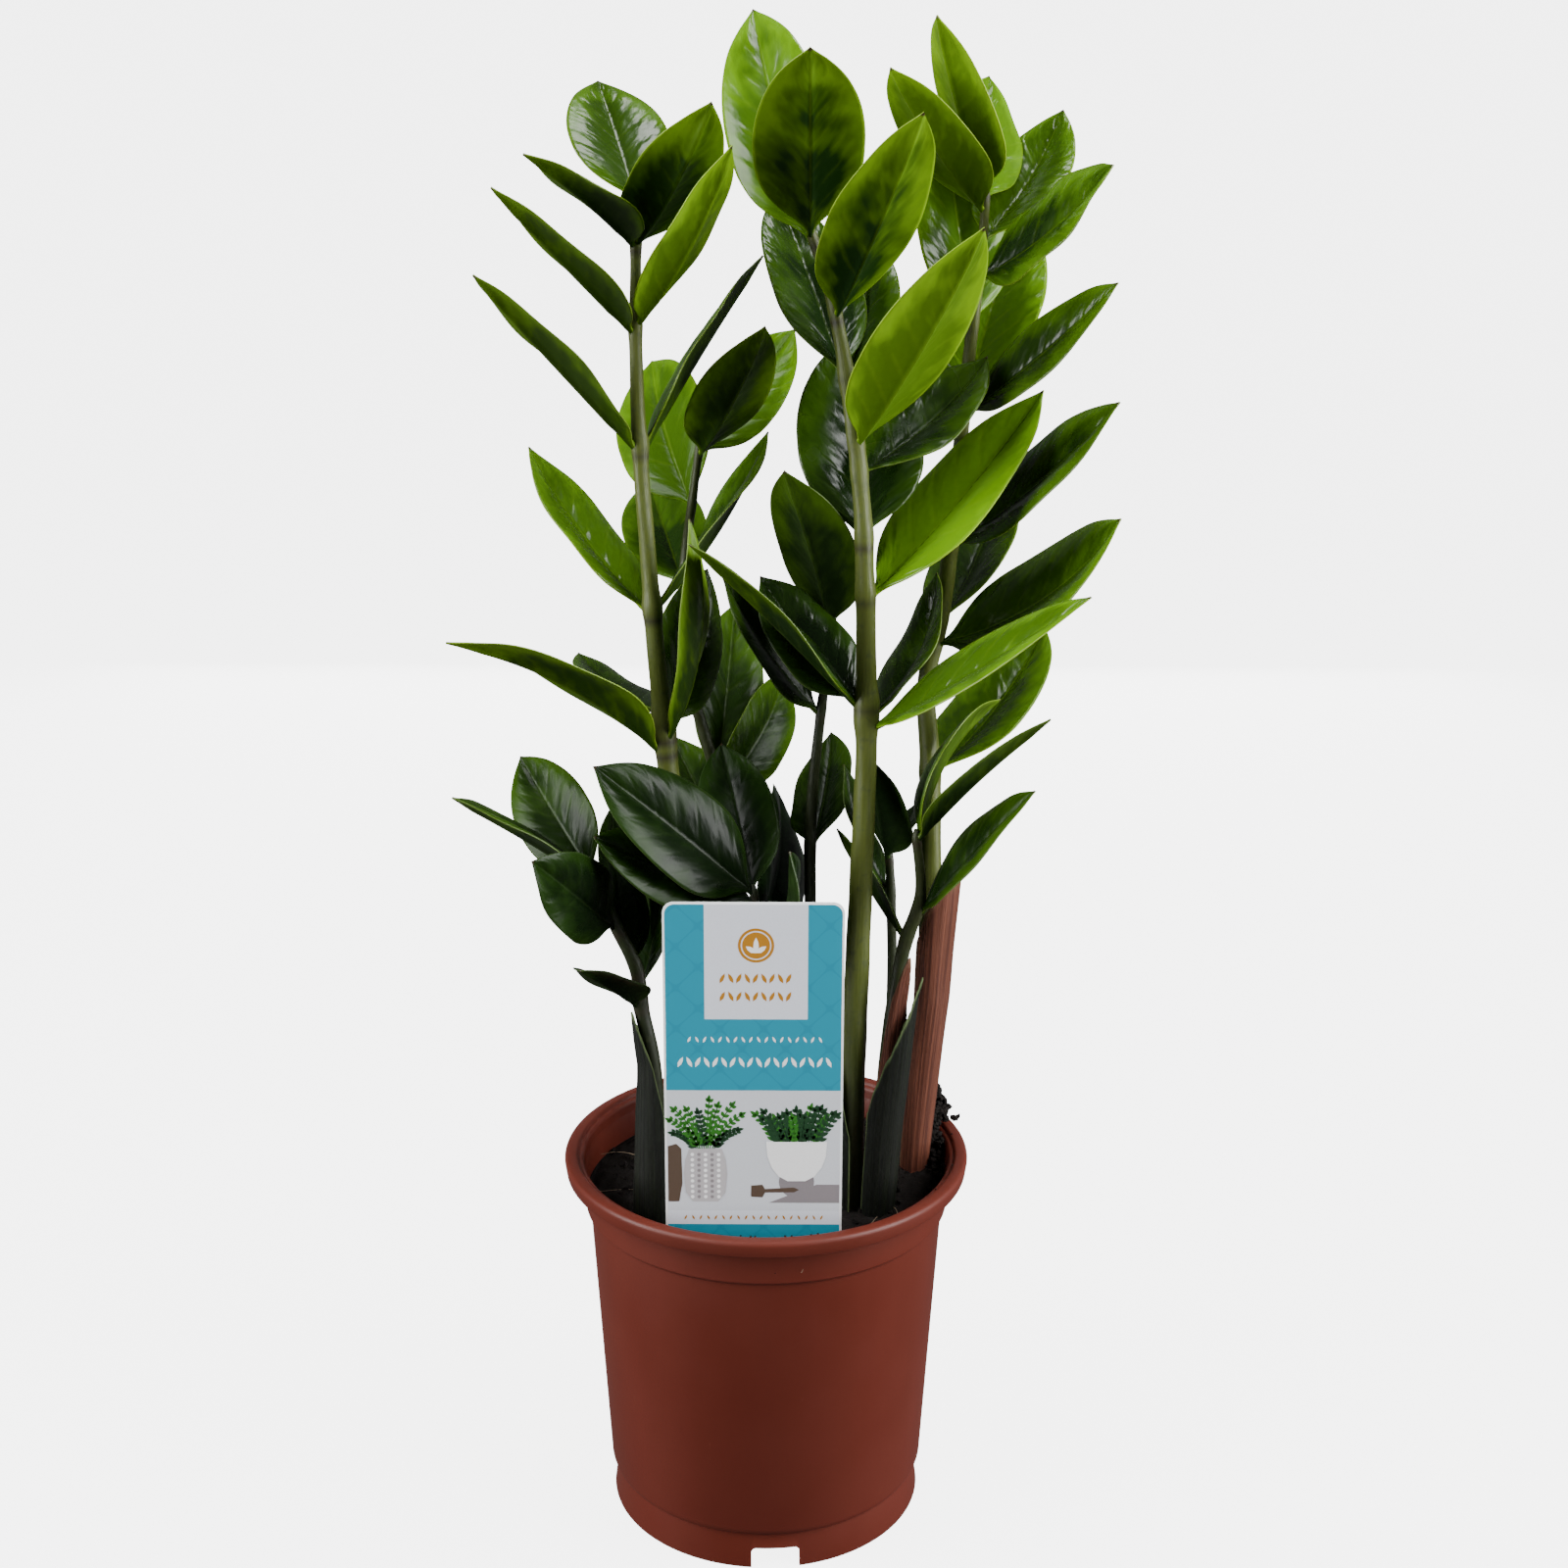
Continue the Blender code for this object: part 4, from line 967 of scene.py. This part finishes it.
# The margin is paler on fresh growth, set by the mark that also carries painted light and shade.
leaf_rim, rim_tree, rim_shader = new_finish("pale_leaf_margin", 0.40)
dress(rim_shader, blend(marked(rim_tree, "fresh_and_lit"), (0.022, 0.045, 0.010), (0.260, 0.420, 0.020)))
LEAF_FINISHES = [leaf_top, leaf_under, leaf_rim]
SHOOT_FINISHES = [shaded_top, leaf_under, leaf_rim]


# %% Shape one leaflet
LEAF_COLUMNS, LEAF_ROWS = 32, 56
LEAF_AT = (0.0, 0.04, 0.09, 0.16, 0.27, 0.42, 0.57, 0.72, 0.84, 0.93, 0.975, 1.0)
LEAF_WIDE = (0.065, 0.20, 0.45, 0.72, 0.93, 1.0, 0.96, 0.80, 0.56, 0.27, 0.09, 0.0)


def flat_slab(columns, rows, layer):
    """A flat grid with a thickness: place across, place along and side (1 top, -1 bottom)."""
    bm, _, _ = flat_grid(columns, rows, layer)
    bmesh.ops.solidify(bm, geom=bm.faces[:], thickness=0.1)
    bmesh.ops.recalc_face_normals(bm, faces=bm.faces)
    spots = np.array([v.co[:] for v in bm.verts])
    side = np.where(spots[:, 2] > spots[:, 2].mean(), 1.0, -1.0)
    for face in bm.faces:
        face.material_index = 0 if face.normal.z > 0.5 else 1 if face.normal.z < -0.5 else 2
    return bm, spots[:, 0], 0.5 + 0.5 * spots[:, 1], side


def leaf_frame(azimuth, rise, roll):
    """Directions of a leaflet: away from the stem, base to tip, out of its face and sideways."""
    az, up, turn = (math.radians(angle) for angle in (azimuth, rise, roll))
    out = np.array((math.cos(az), math.sin(az), 0.0))
    along = out * math.cos(up) + np.array((0.0, 0.0, math.sin(up)))
    face = -out * math.sin(up) + np.array((0.0, 0.0, math.cos(up)))
    side = np.cross(along, face)
    return out, along, face * math.cos(turn) + side * math.sin(turn), (
        side * math.cos(turn) - face * math.sin(turn))


def column(values):
    return np.asarray(values)[:, None]


def leaflet(stem, row, fresh_and_lit, core_shade):
    name, height, azimuth, rise, length, width, roll, arch, twist = row
    chance = random.Random(stem + name)
    bm, u, v, top = flat_slab(LEAF_COLUMNS, LEAF_ROWS, "leaf")
    share = v * (1 + STALK_SHARE) - STALK_SHARE
    centre = stem_at(stem, height)
    out, along, face, side = leaf_frame(azimuth, rise, roll)
    base = centre[:3] + out * (centre[3] + 0.9 * MM)
    length, half = length * MM, width * MM / 2
    bend = math.radians(arch) or 1e-4
    radius = length / (2 * math.sin(bend / 2))
    lean = bend * (0.5 - share)
    middle = (base + column(length / 2 - radius * np.sin(lean)) * along
              + column(radius * (np.cos(lean) - math.cos(bend / 2))) * face)
    upright = column(np.cos(lean)) * face - column(np.sin(lean)) * along
    turned = math.radians(twist) * (share - 0.4)
    normal = column(np.cos(turned)) * upright + column(np.sin(turned)) * side
    across = column(np.cos(turned)) * side - column(np.sin(turned)) * upright

    reach = half * smooth_curve(share, LEAF_AT, LEAF_WIDE)
    edge = np.abs(u)
    fold = reach * (0.20 * (np.sqrt(edge ** 2 + 0.01) - 0.1) + 0.09 * np.sin(math.pi * edge))
    phase = share * VEINS - edge * VEIN_SLANT + 10.0
    vein = np.exp(-(((phase % 1.0) - 0.5) / 0.16) ** 2)
    ends = np.clip(share / 0.15, 0, 1) * np.clip((1 - share) / 0.15, 0, 1)
    quilt = -0.17 * MM * vein * np.sin(math.pi * np.clip(edge, 0.0, 1.0)) ** 0.7 * ends
    groove = -0.55 * MM * np.exp(-(u * reach / (1.0 * MM)) ** 2) * ends
    ripple = chance.uniform(0.3, 0.9) * MM * edge ** 3 * ends * np.sin(
        2 * math.pi * (chance.uniform(1.2, 2.4) * share + chance.random()) + np.sign(u))
    thick = (1.30 - 0.45 * share) * MM * (1 - 0.62 * edge ** 3)
    stalky = np.exp(-(np.maximum(share, 0) / 0.055) ** 2)
    thick = thick + 1.3 * MM * stalky * (1 - edge ** 2)
    rib = np.where(top < 0, 0.55 * MM * np.exp(-(u * reach / (1.1 * MM)) ** 2) * ends * (
        1 - 0.5 * share), 0.0)
    lift = fold + quilt + groove + ripple + top * thick / 2 - rib
    points = middle + across * column(u * reach) + normal * column(lift)
    # Marks for the finish: freshness with painted light, how far painted shade darkens the core,
    # and how rippled the blade is.
    mark(bm, "fresh_and_lit", fresh_and_lit)
    mark(bm, "core_shade", core_shade)
    mark(bm, "wave", WAVES.get(stem, {}).get(name, USUAL_WAVE))
    move_to(bm.verts, points)
    bmesh.ops.remove_doubles(bm, verts=bm.verts, dist=2e-5)
    bmesh.ops.recalc_face_normals(bm, faces=bm.faces)
    return new_object(bm, f"{stem}_leaf_{name}", LEAF_FINISHES if stem in TALL else SHOOT_FINISHES)


def freshness_and_shade(stem, number, name, height):
    """How fresh and lit a leaflet is and how far painted shade darkens its core: its own values, or
    else its stem's.
    """
    own = LEAF_FRESHNESS_AND_SHADE.get(stem, ())
    if number < len(own):
        return own[number]
    low, high = FRESHNESS_AND_LIGHT[stem]
    share = height / STEMS[stem][-1][2]
    chance = random.Random(name + stem).uniform(-0.08, 0.08)
    return min(1.0, max(0.0, low + (high - low) * share + chance)), USUAL_CORE_SHADE


# %% [markdown]
# On the tall fronds each leaflet is a piece of its own. On a short shoot the leaflets and their
# stalk are one piece, as in the solid model.

# %% Grow all the leaflets
for stem, rows in LEAFLETS.items():
    grown = []
    for number, row in enumerate(rows):
        made = leaflet(stem, row, *freshness_and_shade(stem, number, *row[:2]))
        if stem in TALL:
            made.name = f"{stem}_leaflet_{row[0][5:]}"
            finish_piece(made, "leaf", f"{stem}_{row[0]}")
        else:
            grown.append(made)
    if grown:
        shoot = joined("short_shoot_" + stem, [stalks[stem]] + grown)
        finish_piece(shoot, "shoot", "shoot_" + stem)
print(sum(len(rows) for rows in LEAFLETS.values()), "leaflets have grown")

# %% [markdown]
# ## Sheaths
# Each young frond pushes up out of a scale leaf that dries to a ribbed, papery sheath. It wraps
# part way round the stalk and ends in a ragged point. Two are old and red-brown, three are still
# dark green with a pale edge.

# %% The sheaths
# Stem, foot and tip height, heading and half the angle it wraps, radius at the foot and at the
# tip, how far the tip leans out, and the fall, curve and place of the ragged point.
SHEATHS = {
    "sheath_right": ("right", 4, 136, -40, 105, 6.6, 9.0, 4.0, 0.22, 3.0, 0.3),
    "sheath_front": ("front", 4, 114, -75, 70, 4.6, 5.6, 2.0, 0.50, 1.6, 0.0),
    "sheath_fold": ("front", 4, 104, -75, 85, 6.9, 8.6, 2.0, 0.60, 1.2, 0.8),
    "sheath_center": ("center", 4, 66, -160, 65, 6.6, 7.8, 1.5, 0.55, 1.6, 0.0),
    "sheath_edge": ("edge", 4, 88, -150, 100, 9.5, 4.4, 0.0, 0.55, 1.6, 0.0),
}
SHEATH_FOOT = 12  # mm down from there, so that the foot is buried in the peat


def sheath_finish(name, deep, pale, edge_tone):
    finish, tree, shader = new_finish(name, 0.6, Specular_IOR_Level=0.25)
    chart, x, along = on_surface(tree, "sheath")
    fine = speckle(chart, 34.0, 4.0, 0.65, (1.0, 0.05, 1.0))
    broad = speckle(chart, 8.0, 3.0, 0.5, (1.0, 0.18, 1.0))
    tone = blend(fade(fine, 0.35, 0.68), deep, pale)
    tone = blend(fade(broad, 0.45, 0.7) * 0.5, tone, deep)
    rim = calc("MAXIMUM", fade(abs(x - 0.5) * 2.0, 0.90, 0.99), fade(along, 0.95, 1.0))
    tone = blend(rim, tone, edge_tone)
    dress(shader, tone, fade(broad, 0.3, 0.7, 0.50, 0.72), fine, 0.0006, 0.9)
    return finish


papery = sheath_finish("dry_sheath", (0.050, 0.013, 0.007), (0.150, 0.050, 0.028),
                       (0.140, 0.070, 0.040))
living = sheath_finish("green_sheath", (0.0014, 0.0022, 0.0012), (0.0048, 0.0078, 0.0026),
                       (0.085, 0.120, 0.045))


def sheath(name, finish):
    stem, low, high, heading, half_angle, r0, r1, lean, drop, power, peak = SHEATHS[name]
    chance = random.Random(name)
    seed = chance.uniform(0, 50)
    bm, u, v, side = flat_slab(36, 60, "sheath")
    points = []
    for across, along, outer in zip(u, v, side):
        angle = math.radians(heading + across * half_angle)
        ragged = 1.6 * noise.noise(Vector((across * 6 + seed, 0, 0)))
        fall = drop * (abs(across - peak) / (1 + abs(peak))) ** power
        top = low + (high - low) * (1 - fall) + ragged
        height = low - SHEATH_FOOT + (top - low + SHEATH_FOOT) * along
        share = max(0.0, (height - low) / (high - low))
        centre = stem_at(stem, max(height, 0.0))
        ribs = 0.16 * math.sin(across * 46 + 2 * math.sin(along * 4)) + 0.5 * noise.noise(
            Vector((across * 3 + seed, along * 4, 0)))
        radius = max((r0 + (r1 - r0) * share) * MM, centre[3] + 0.7 * MM)
        radius += ribs * MM * min(1.0, 0.3 + share) + (0.45 * MM if outer > 0 else 0.0)
        out = lean * MM * share ** 2
        facing = math.radians(heading)
        points.append((centre[0] + radius * math.cos(angle) + out * math.cos(facing),
                       centre[1] + radius * math.sin(angle) + out * math.sin(facing),
                       SOIL_LEVEL + height * MM))
    move_to(bm.verts, points)
    bmesh.ops.recalc_face_normals(bm, faces=bm.faces)
    for face in bm.faces:
        face.material_index = 0
    return new_object(bm, name + "_scale", [finish])


for name in SHEATHS:
    brown = name in ("sheath_right", "sheath_front")
    scale = sheath(name, papery if brown else living)
    finish_piece(scale, "sheath_brown" if brown else "sheath_dark", name)
print(len(SHEATHS), "sheaths wrap the stalks")

# %% [markdown]
# ## The plant label
# A grower's label is a thin plastic tag with rounded top corners. The tag is a plane with two
# bevelled corners, pushed out to its thickness. What is printed on it is a plain design of our
# own: a lattice ground, a pale panel with a round badge, rows of small leaves, and a picture
# of two potted plants. Each printed shape is a layer a few hundredths of a mm thick.

# %% The tag
tag_low, tag_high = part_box("plant_label")
TAG_WIDTH = tag_high.x - tag_low.x
TAG_HEIGHT = tag_high.z - tag_low.z
TAG_MIDDLE = (tag_low.x + tag_high.x) / 2
TAG_CORNER, TAG_EDGE = 4.5 * MM, 0.12 * MM
INK_ROUGHNESS, LATTICE_PITCH = 0.35, 17.0 * MM


def print_ink(name, color):
    finish, tree, shader = new_finish(name, INK_ROUGHNESS)
    fine = speckle(on_object(tree), 1500.0, 2.0)
    tone = blend(fine, tuple(0.88 * value for value in color), color)
    dress(shader, tone, fade(fine, 0.3, 0.7, INK_ROUGHNESS, INK_ROUGHNESS + 0.08))
    return finish


def lattice_ink():
    """Turquoise with a slightly darker lattice of rounded cells."""
    finish, tree, shader = new_finish("turquoise_lattice", 0.36)
    x, _, z = split(on_object(tree))
    turns = 2 * math.pi / LATTICE_PITCH
    net = abs(calc("COSINE", x * turns) + calc("COSINE", z * turns))
    line = fade(net, 0.04, 0.22, 1.0, 0.0)
    tone = blend(line * 0.45, (0.006, 0.210, 0.300), (0.004, 0.150, 0.230))
    dress(shader, tone, fade(line, 0.0, 1.0, 0.34, 0.42))
    return finish


INK_TONES = {
    "tag_plastic": (0.82, 0.83, 0.84), "turquoise_lattice": None,
    "panel_grey": (0.62, 0.64, 0.70), "badge_gold": (0.36, 0.155, 0.010),
    "picture_wall": (0.54, 0.56, 0.60), "picture_green": (0.022, 0.130, 0.012),
    "picture_dark_green": (0.010, 0.040, 0.014), "picture_brown": (0.075, 0.050, 0.035),
    "picture_white": (0.80, 0.80, 0.80), "picture_grey": (0.20, 0.18, 0.19),
    "picture_vase": (0.40, 0.38, 0.39),
}
INKS = [print_ink(name, tone) if tone else lattice_ink() for name, tone in INK_TONES.items()]
WHITE, LATTICE, PANEL, GOLD, WALL_GREY, GREEN, DARK_GREEN, BROWN, BRIGHT, GREY, VASE = range(11)

tag_bm = bmesh.new()
bmesh.ops.create_grid(tag_bm, x_segments=1, y_segments=1, size=0.5)
bmesh.ops.scale(tag_bm, verts=tag_bm.verts, vec=(TAG_WIDTH, TAG_HEIGHT, 1.0))
top_corners = [v for v in tag_bm.verts if v.co.y > 0]
bmesh.ops.bevel(tag_bm, geom=top_corners, offset=TAG_CORNER, offset_type="OFFSET",
                affect="VERTICES", segments=10, profile=0.5, material=-1)
bmesh.ops.solidify(tag_bm, geom=tag_bm.faces[:], thickness=tag_high.y - tag_low.y)
bmesh.ops.rotate(tag_bm, verts=tag_bm.verts, matrix=Matrix.Rotation(math.radians(90), 3, "X"))
tag_spots = [v.co for v in tag_bm.verts]
shift = Vector((TAG_MIDDLE, tag_high.y - max(p.y for p in tag_spots),
                (tag_low.z + tag_high.z) / 2))
bmesh.ops.translate(tag_bm, verts=tag_bm.verts, vec=shift)
bmesh.ops.recalc_face_normals(tag_bm, faces=tag_bm.faces)
soften(tag_bm, TAG_EDGE, 1.0)
tag = new_object(tag_bm, "label_tag", INKS[:1])
tag.data.set_sharp_from_angle(angle=math.radians(40))
finish_piece(tag, "label", "plant_label")
print("the tag is", round(1000 * TAG_WIDTH), "mm wide")

# %% [markdown]
# The prints are drawn on the tag in millimetres: to the right of its middle line and down from
# its top edge. Each outline becomes one face, which is pushed out by its layer's height.

# %% Print on the tag
INK_SUNK, INK_FIRST, INK_STEP = 0.02 * MM, 0.03, 0.02
print_bm = bmesh.new()


def ink(points, layer, color):
    """Print one closed outline of (right, down) points in mm."""
    verts = [print_bm.verts.new((TAG_MIDDLE + x * MM, tag_low.y + INK_SUNK,
                                 tag_high.z - down * MM)) for x, down in points]
    face = print_bm.faces.new(verts)
    face.normal_update()
    face.material_index = color
    made = bmesh.ops.extrude_face_region(print_bm, geom=[face])["geom"]
    for item in made:
        if isinstance(item, bmesh.types.BMVert):
            item.co.y -= (INK_FIRST + INK_STEP * layer) * MM
        if isinstance(item, bmesh.types.BMFace):
            item.material_index = color
    for vert in verts:
        for near in vert.link_faces:
            near.material_index = color


def box_ink(x0, y0, x1, y1, layer, color, corner=0.0):
    """Print a rectangle, with its upper corners rounded where wanted."""
    points = [(x1, y1), (x0, y1)]
    for cx, start in ((x0 + corner, 180), (x1 - corner, 270)):
        if corner:
            points += [(cx + corner * math.cos(math.radians(start + 15 * i)),
                        y0 + corner + corner * math.sin(math.radians(start + 15 * i)))
                       for i in range(7)]
        else:
            points.append((cx, y0))
    ink(points, layer, color)


def round_ink(cx, cy, radius, layer, color, steps=48):
    turns = (2 * math.pi * i / steps for i in range(steps))
    points = [(cx + radius * math.cos(turn), cy - radius * math.sin(turn)) for turn in turns]
    ink(points, layer, color)


def leaf_ink(x, y, heading, length, width, layer, color):
    """A small pointed leaf: six corners are enough at this size."""
    turn = math.radians(heading)
    ahead, side = (math.cos(turn), -math.sin(turn)), (math.sin(turn), math.cos(turn))
    points = []
    for along, off in ((0, 0), (0.35, 0.5), (0.7, 0.42), (1, 0), (0.7, -0.42), (0.35, -0.5)):
        points.append((x + length * along * ahead[0] + width * off * side[0],
                       y + length * along * ahead[1] + width * off * side[1]))
    ink(points, layer, color)


HALF_TAG = TAG_WIDTH * 500
EDGE = 0.9
PICTURE_TOP, PICTURE_END, STRIP_END = 78.0, 130.0, 136.0
for top, end, color, corner in ((EDGE, PICTURE_TOP, LATTICE, 3.8), (STRIP_END, 168.0, LATTICE, 0.0),
                                (PICTURE_TOP, PICTURE_END, WALL_GREY, 0.0),
                                (PICTURE_END, STRIP_END, PANEL, 0.0)):
    box_ink(-HALF_TAG + EDGE, top, HALF_TAG - EDGE, end, 0, color, corner)
box_ink(-19.0, EDGE, 21.0, 48.0, 1, PANEL)
print("ground, panel and picture are printed")

# %% [markdown]
# The badge is a gold disc with a sprig of three leaves. Where a grower's label has
# words, ours has rows of small leaves.

# %% Badge, rows of leaves and picture
round_ink(1.0, 17.5, 7.0, 2, GOLD, steps=64)
round_ink(1.0, 17.5, 5.9, 3, PANEL, steps=48)
round_ink(1.0, 17.5, 5.4, 4, GOLD, steps=48)
for heading, reach in ((90, 6.4), (35, 4.8), (145, 4.8)):
    leaf_ink(1.0, 20.6, heading, reach, 2.1, 5, BRIGHT)
draw = random.Random(3)


def garland(cx, y, half, high, pitch, layer, color):
    """A row of small leaves leaning left and right: it stands where a line of words would be."""
    for i in range(int(2 * half / pitch) + 1):
        side = -1 if i % 2 else 1
        leaf_ink(cx - half + i * pitch - side * 0.25 * high, y + high / 2, 90 - 26 * side,
                 1.1 * high, 0.36 * high, layer, color)


for row in ((1.0, 31.0, 13.0, 4.2, 3.2, 2, GOLD), (1.0, 38.5, 13.0, 4.2, 3.2, 2, GOLD),
            (1.0, 56.5, 26.0, 2.6, 3.0, 1, BRIGHT), (1.0, 66.0, 29.5, 4.4, 3.4, 1, BRIGHT),
            (1.0, 133.0, 28.0, 2.2, 3.0, 1, GOLD)):
    garland(*row)


def frond_ink(x, y, lean, length, leaves, size, color, layer):
    """A curved frond: a thin stalk with a pair of leaves at every step and one at its end."""
    left, right = [], []
    step = length / leaves
    for i in range(leaves + 1):
        turn = math.radians(lean * (0.30 + 0.70 * i / leaves))
        side_x, side_y = 0.22 * math.cos(turn), 0.22 * math.sin(turn)
        left.append((x - side_x, y - side_y))
        right.append((x + side_x, y + side_y))
        reach = size * (1.10 - 0.40 * i / leaves)
        if i:
            for side in (-1, 1):
                leaf_ink(x, y, 90 - math.degrees(turn) + side * draw.uniform(34, 50), reach,
                         size * 0.44, layer, color)
        x, y = x + step * math.sin(turn), y - step * math.cos(turn)
    ink(right + left[::-1], layer, color)
    leaf_ink(*left[-1], 90 - lean, size, size * 0.4, layer, color)


for lean, length in ((-64, 17), (-48, 20), (-30, 18), (-12, 16), (6, 21), (20, 19), (40, 21),
                     (60, 19), (-80, 12), (76, 13)):
    frond_ink(-19.0 + 0.04 * lean, 104.0, lean, length, 8, 3.3,
              DARK_GREEN if length < 17 else GREEN, 2 + length % 3)
for i in range(19):
    lean = -50 + 100 * i / 18
    frond_ink(17.0 + 0.16 * lean, 102.0, lean, draw.uniform(11, 16), 6, 3.6,
              DARK_GREEN if i % 4 else GREEN, 2 + i % 3)
# Left: a grey patterned vase. Right: a white bowl on a table with a trowel.
vase = [(-25.5, 103), (-12.5, 103), (-11.0, 108), (-10.4, 114), (-11.2, 122), (-14.0, 126),
        (-24.0, 126), (-26.8, 122), (-27.6, 114), (-27.0, 108)]
ink(vase[::-1], 5, VASE)
for i in range(5):
    for j in range(9):
        round_ink(-24.2 + 2.6 * i, 105.5 + 2.3 * j, 0.75, 6, GREY if i % 2 else BRIGHT, steps=8)
round_ink(17.0, 117.4, 7.0, 1, GREY, steps=32)
bowl = [(5.0, 100), (29.0, 100), (28.6, 106), (27.0, 111), (24.0, 115), (20.5, 117.0),
        (13.5, 117.0), (10.0, 115), (7.0, 111), (5.4, 106)]
ink(bowl[::-1], 5, BRIGHT)
ink([(34.0, 118.5), (25.0, 118.5), (6.0, 126.5), (34.0, 126.5)], 2, GREY)
ink([(-1.0, 119.0), (3.5, 118.6), (4.5, 120.5), (16.0, 119.8), (18.0, 120.8), (16.0, 121.9),
     (4.5, 122.0), (3.5, 124.2), (-1.0, 123.8)][::-1], 3, BROWN)
ink([(-33.8, 102), (-30.5, 101), (-28.5, 103), (-28.2, 118), (-29.5, 126), (-33.8, 126)][::-1], 3,
    BROWN)
bmesh.ops.recalc_face_normals(print_bm, faces=print_bm.faces)
prints = new_object(print_bm, "label_print", INKS)
prints.data.shade_flat()
finish_piece(prints, "label")
print(len(prints.data.polygons), "faces are printed on the tag")
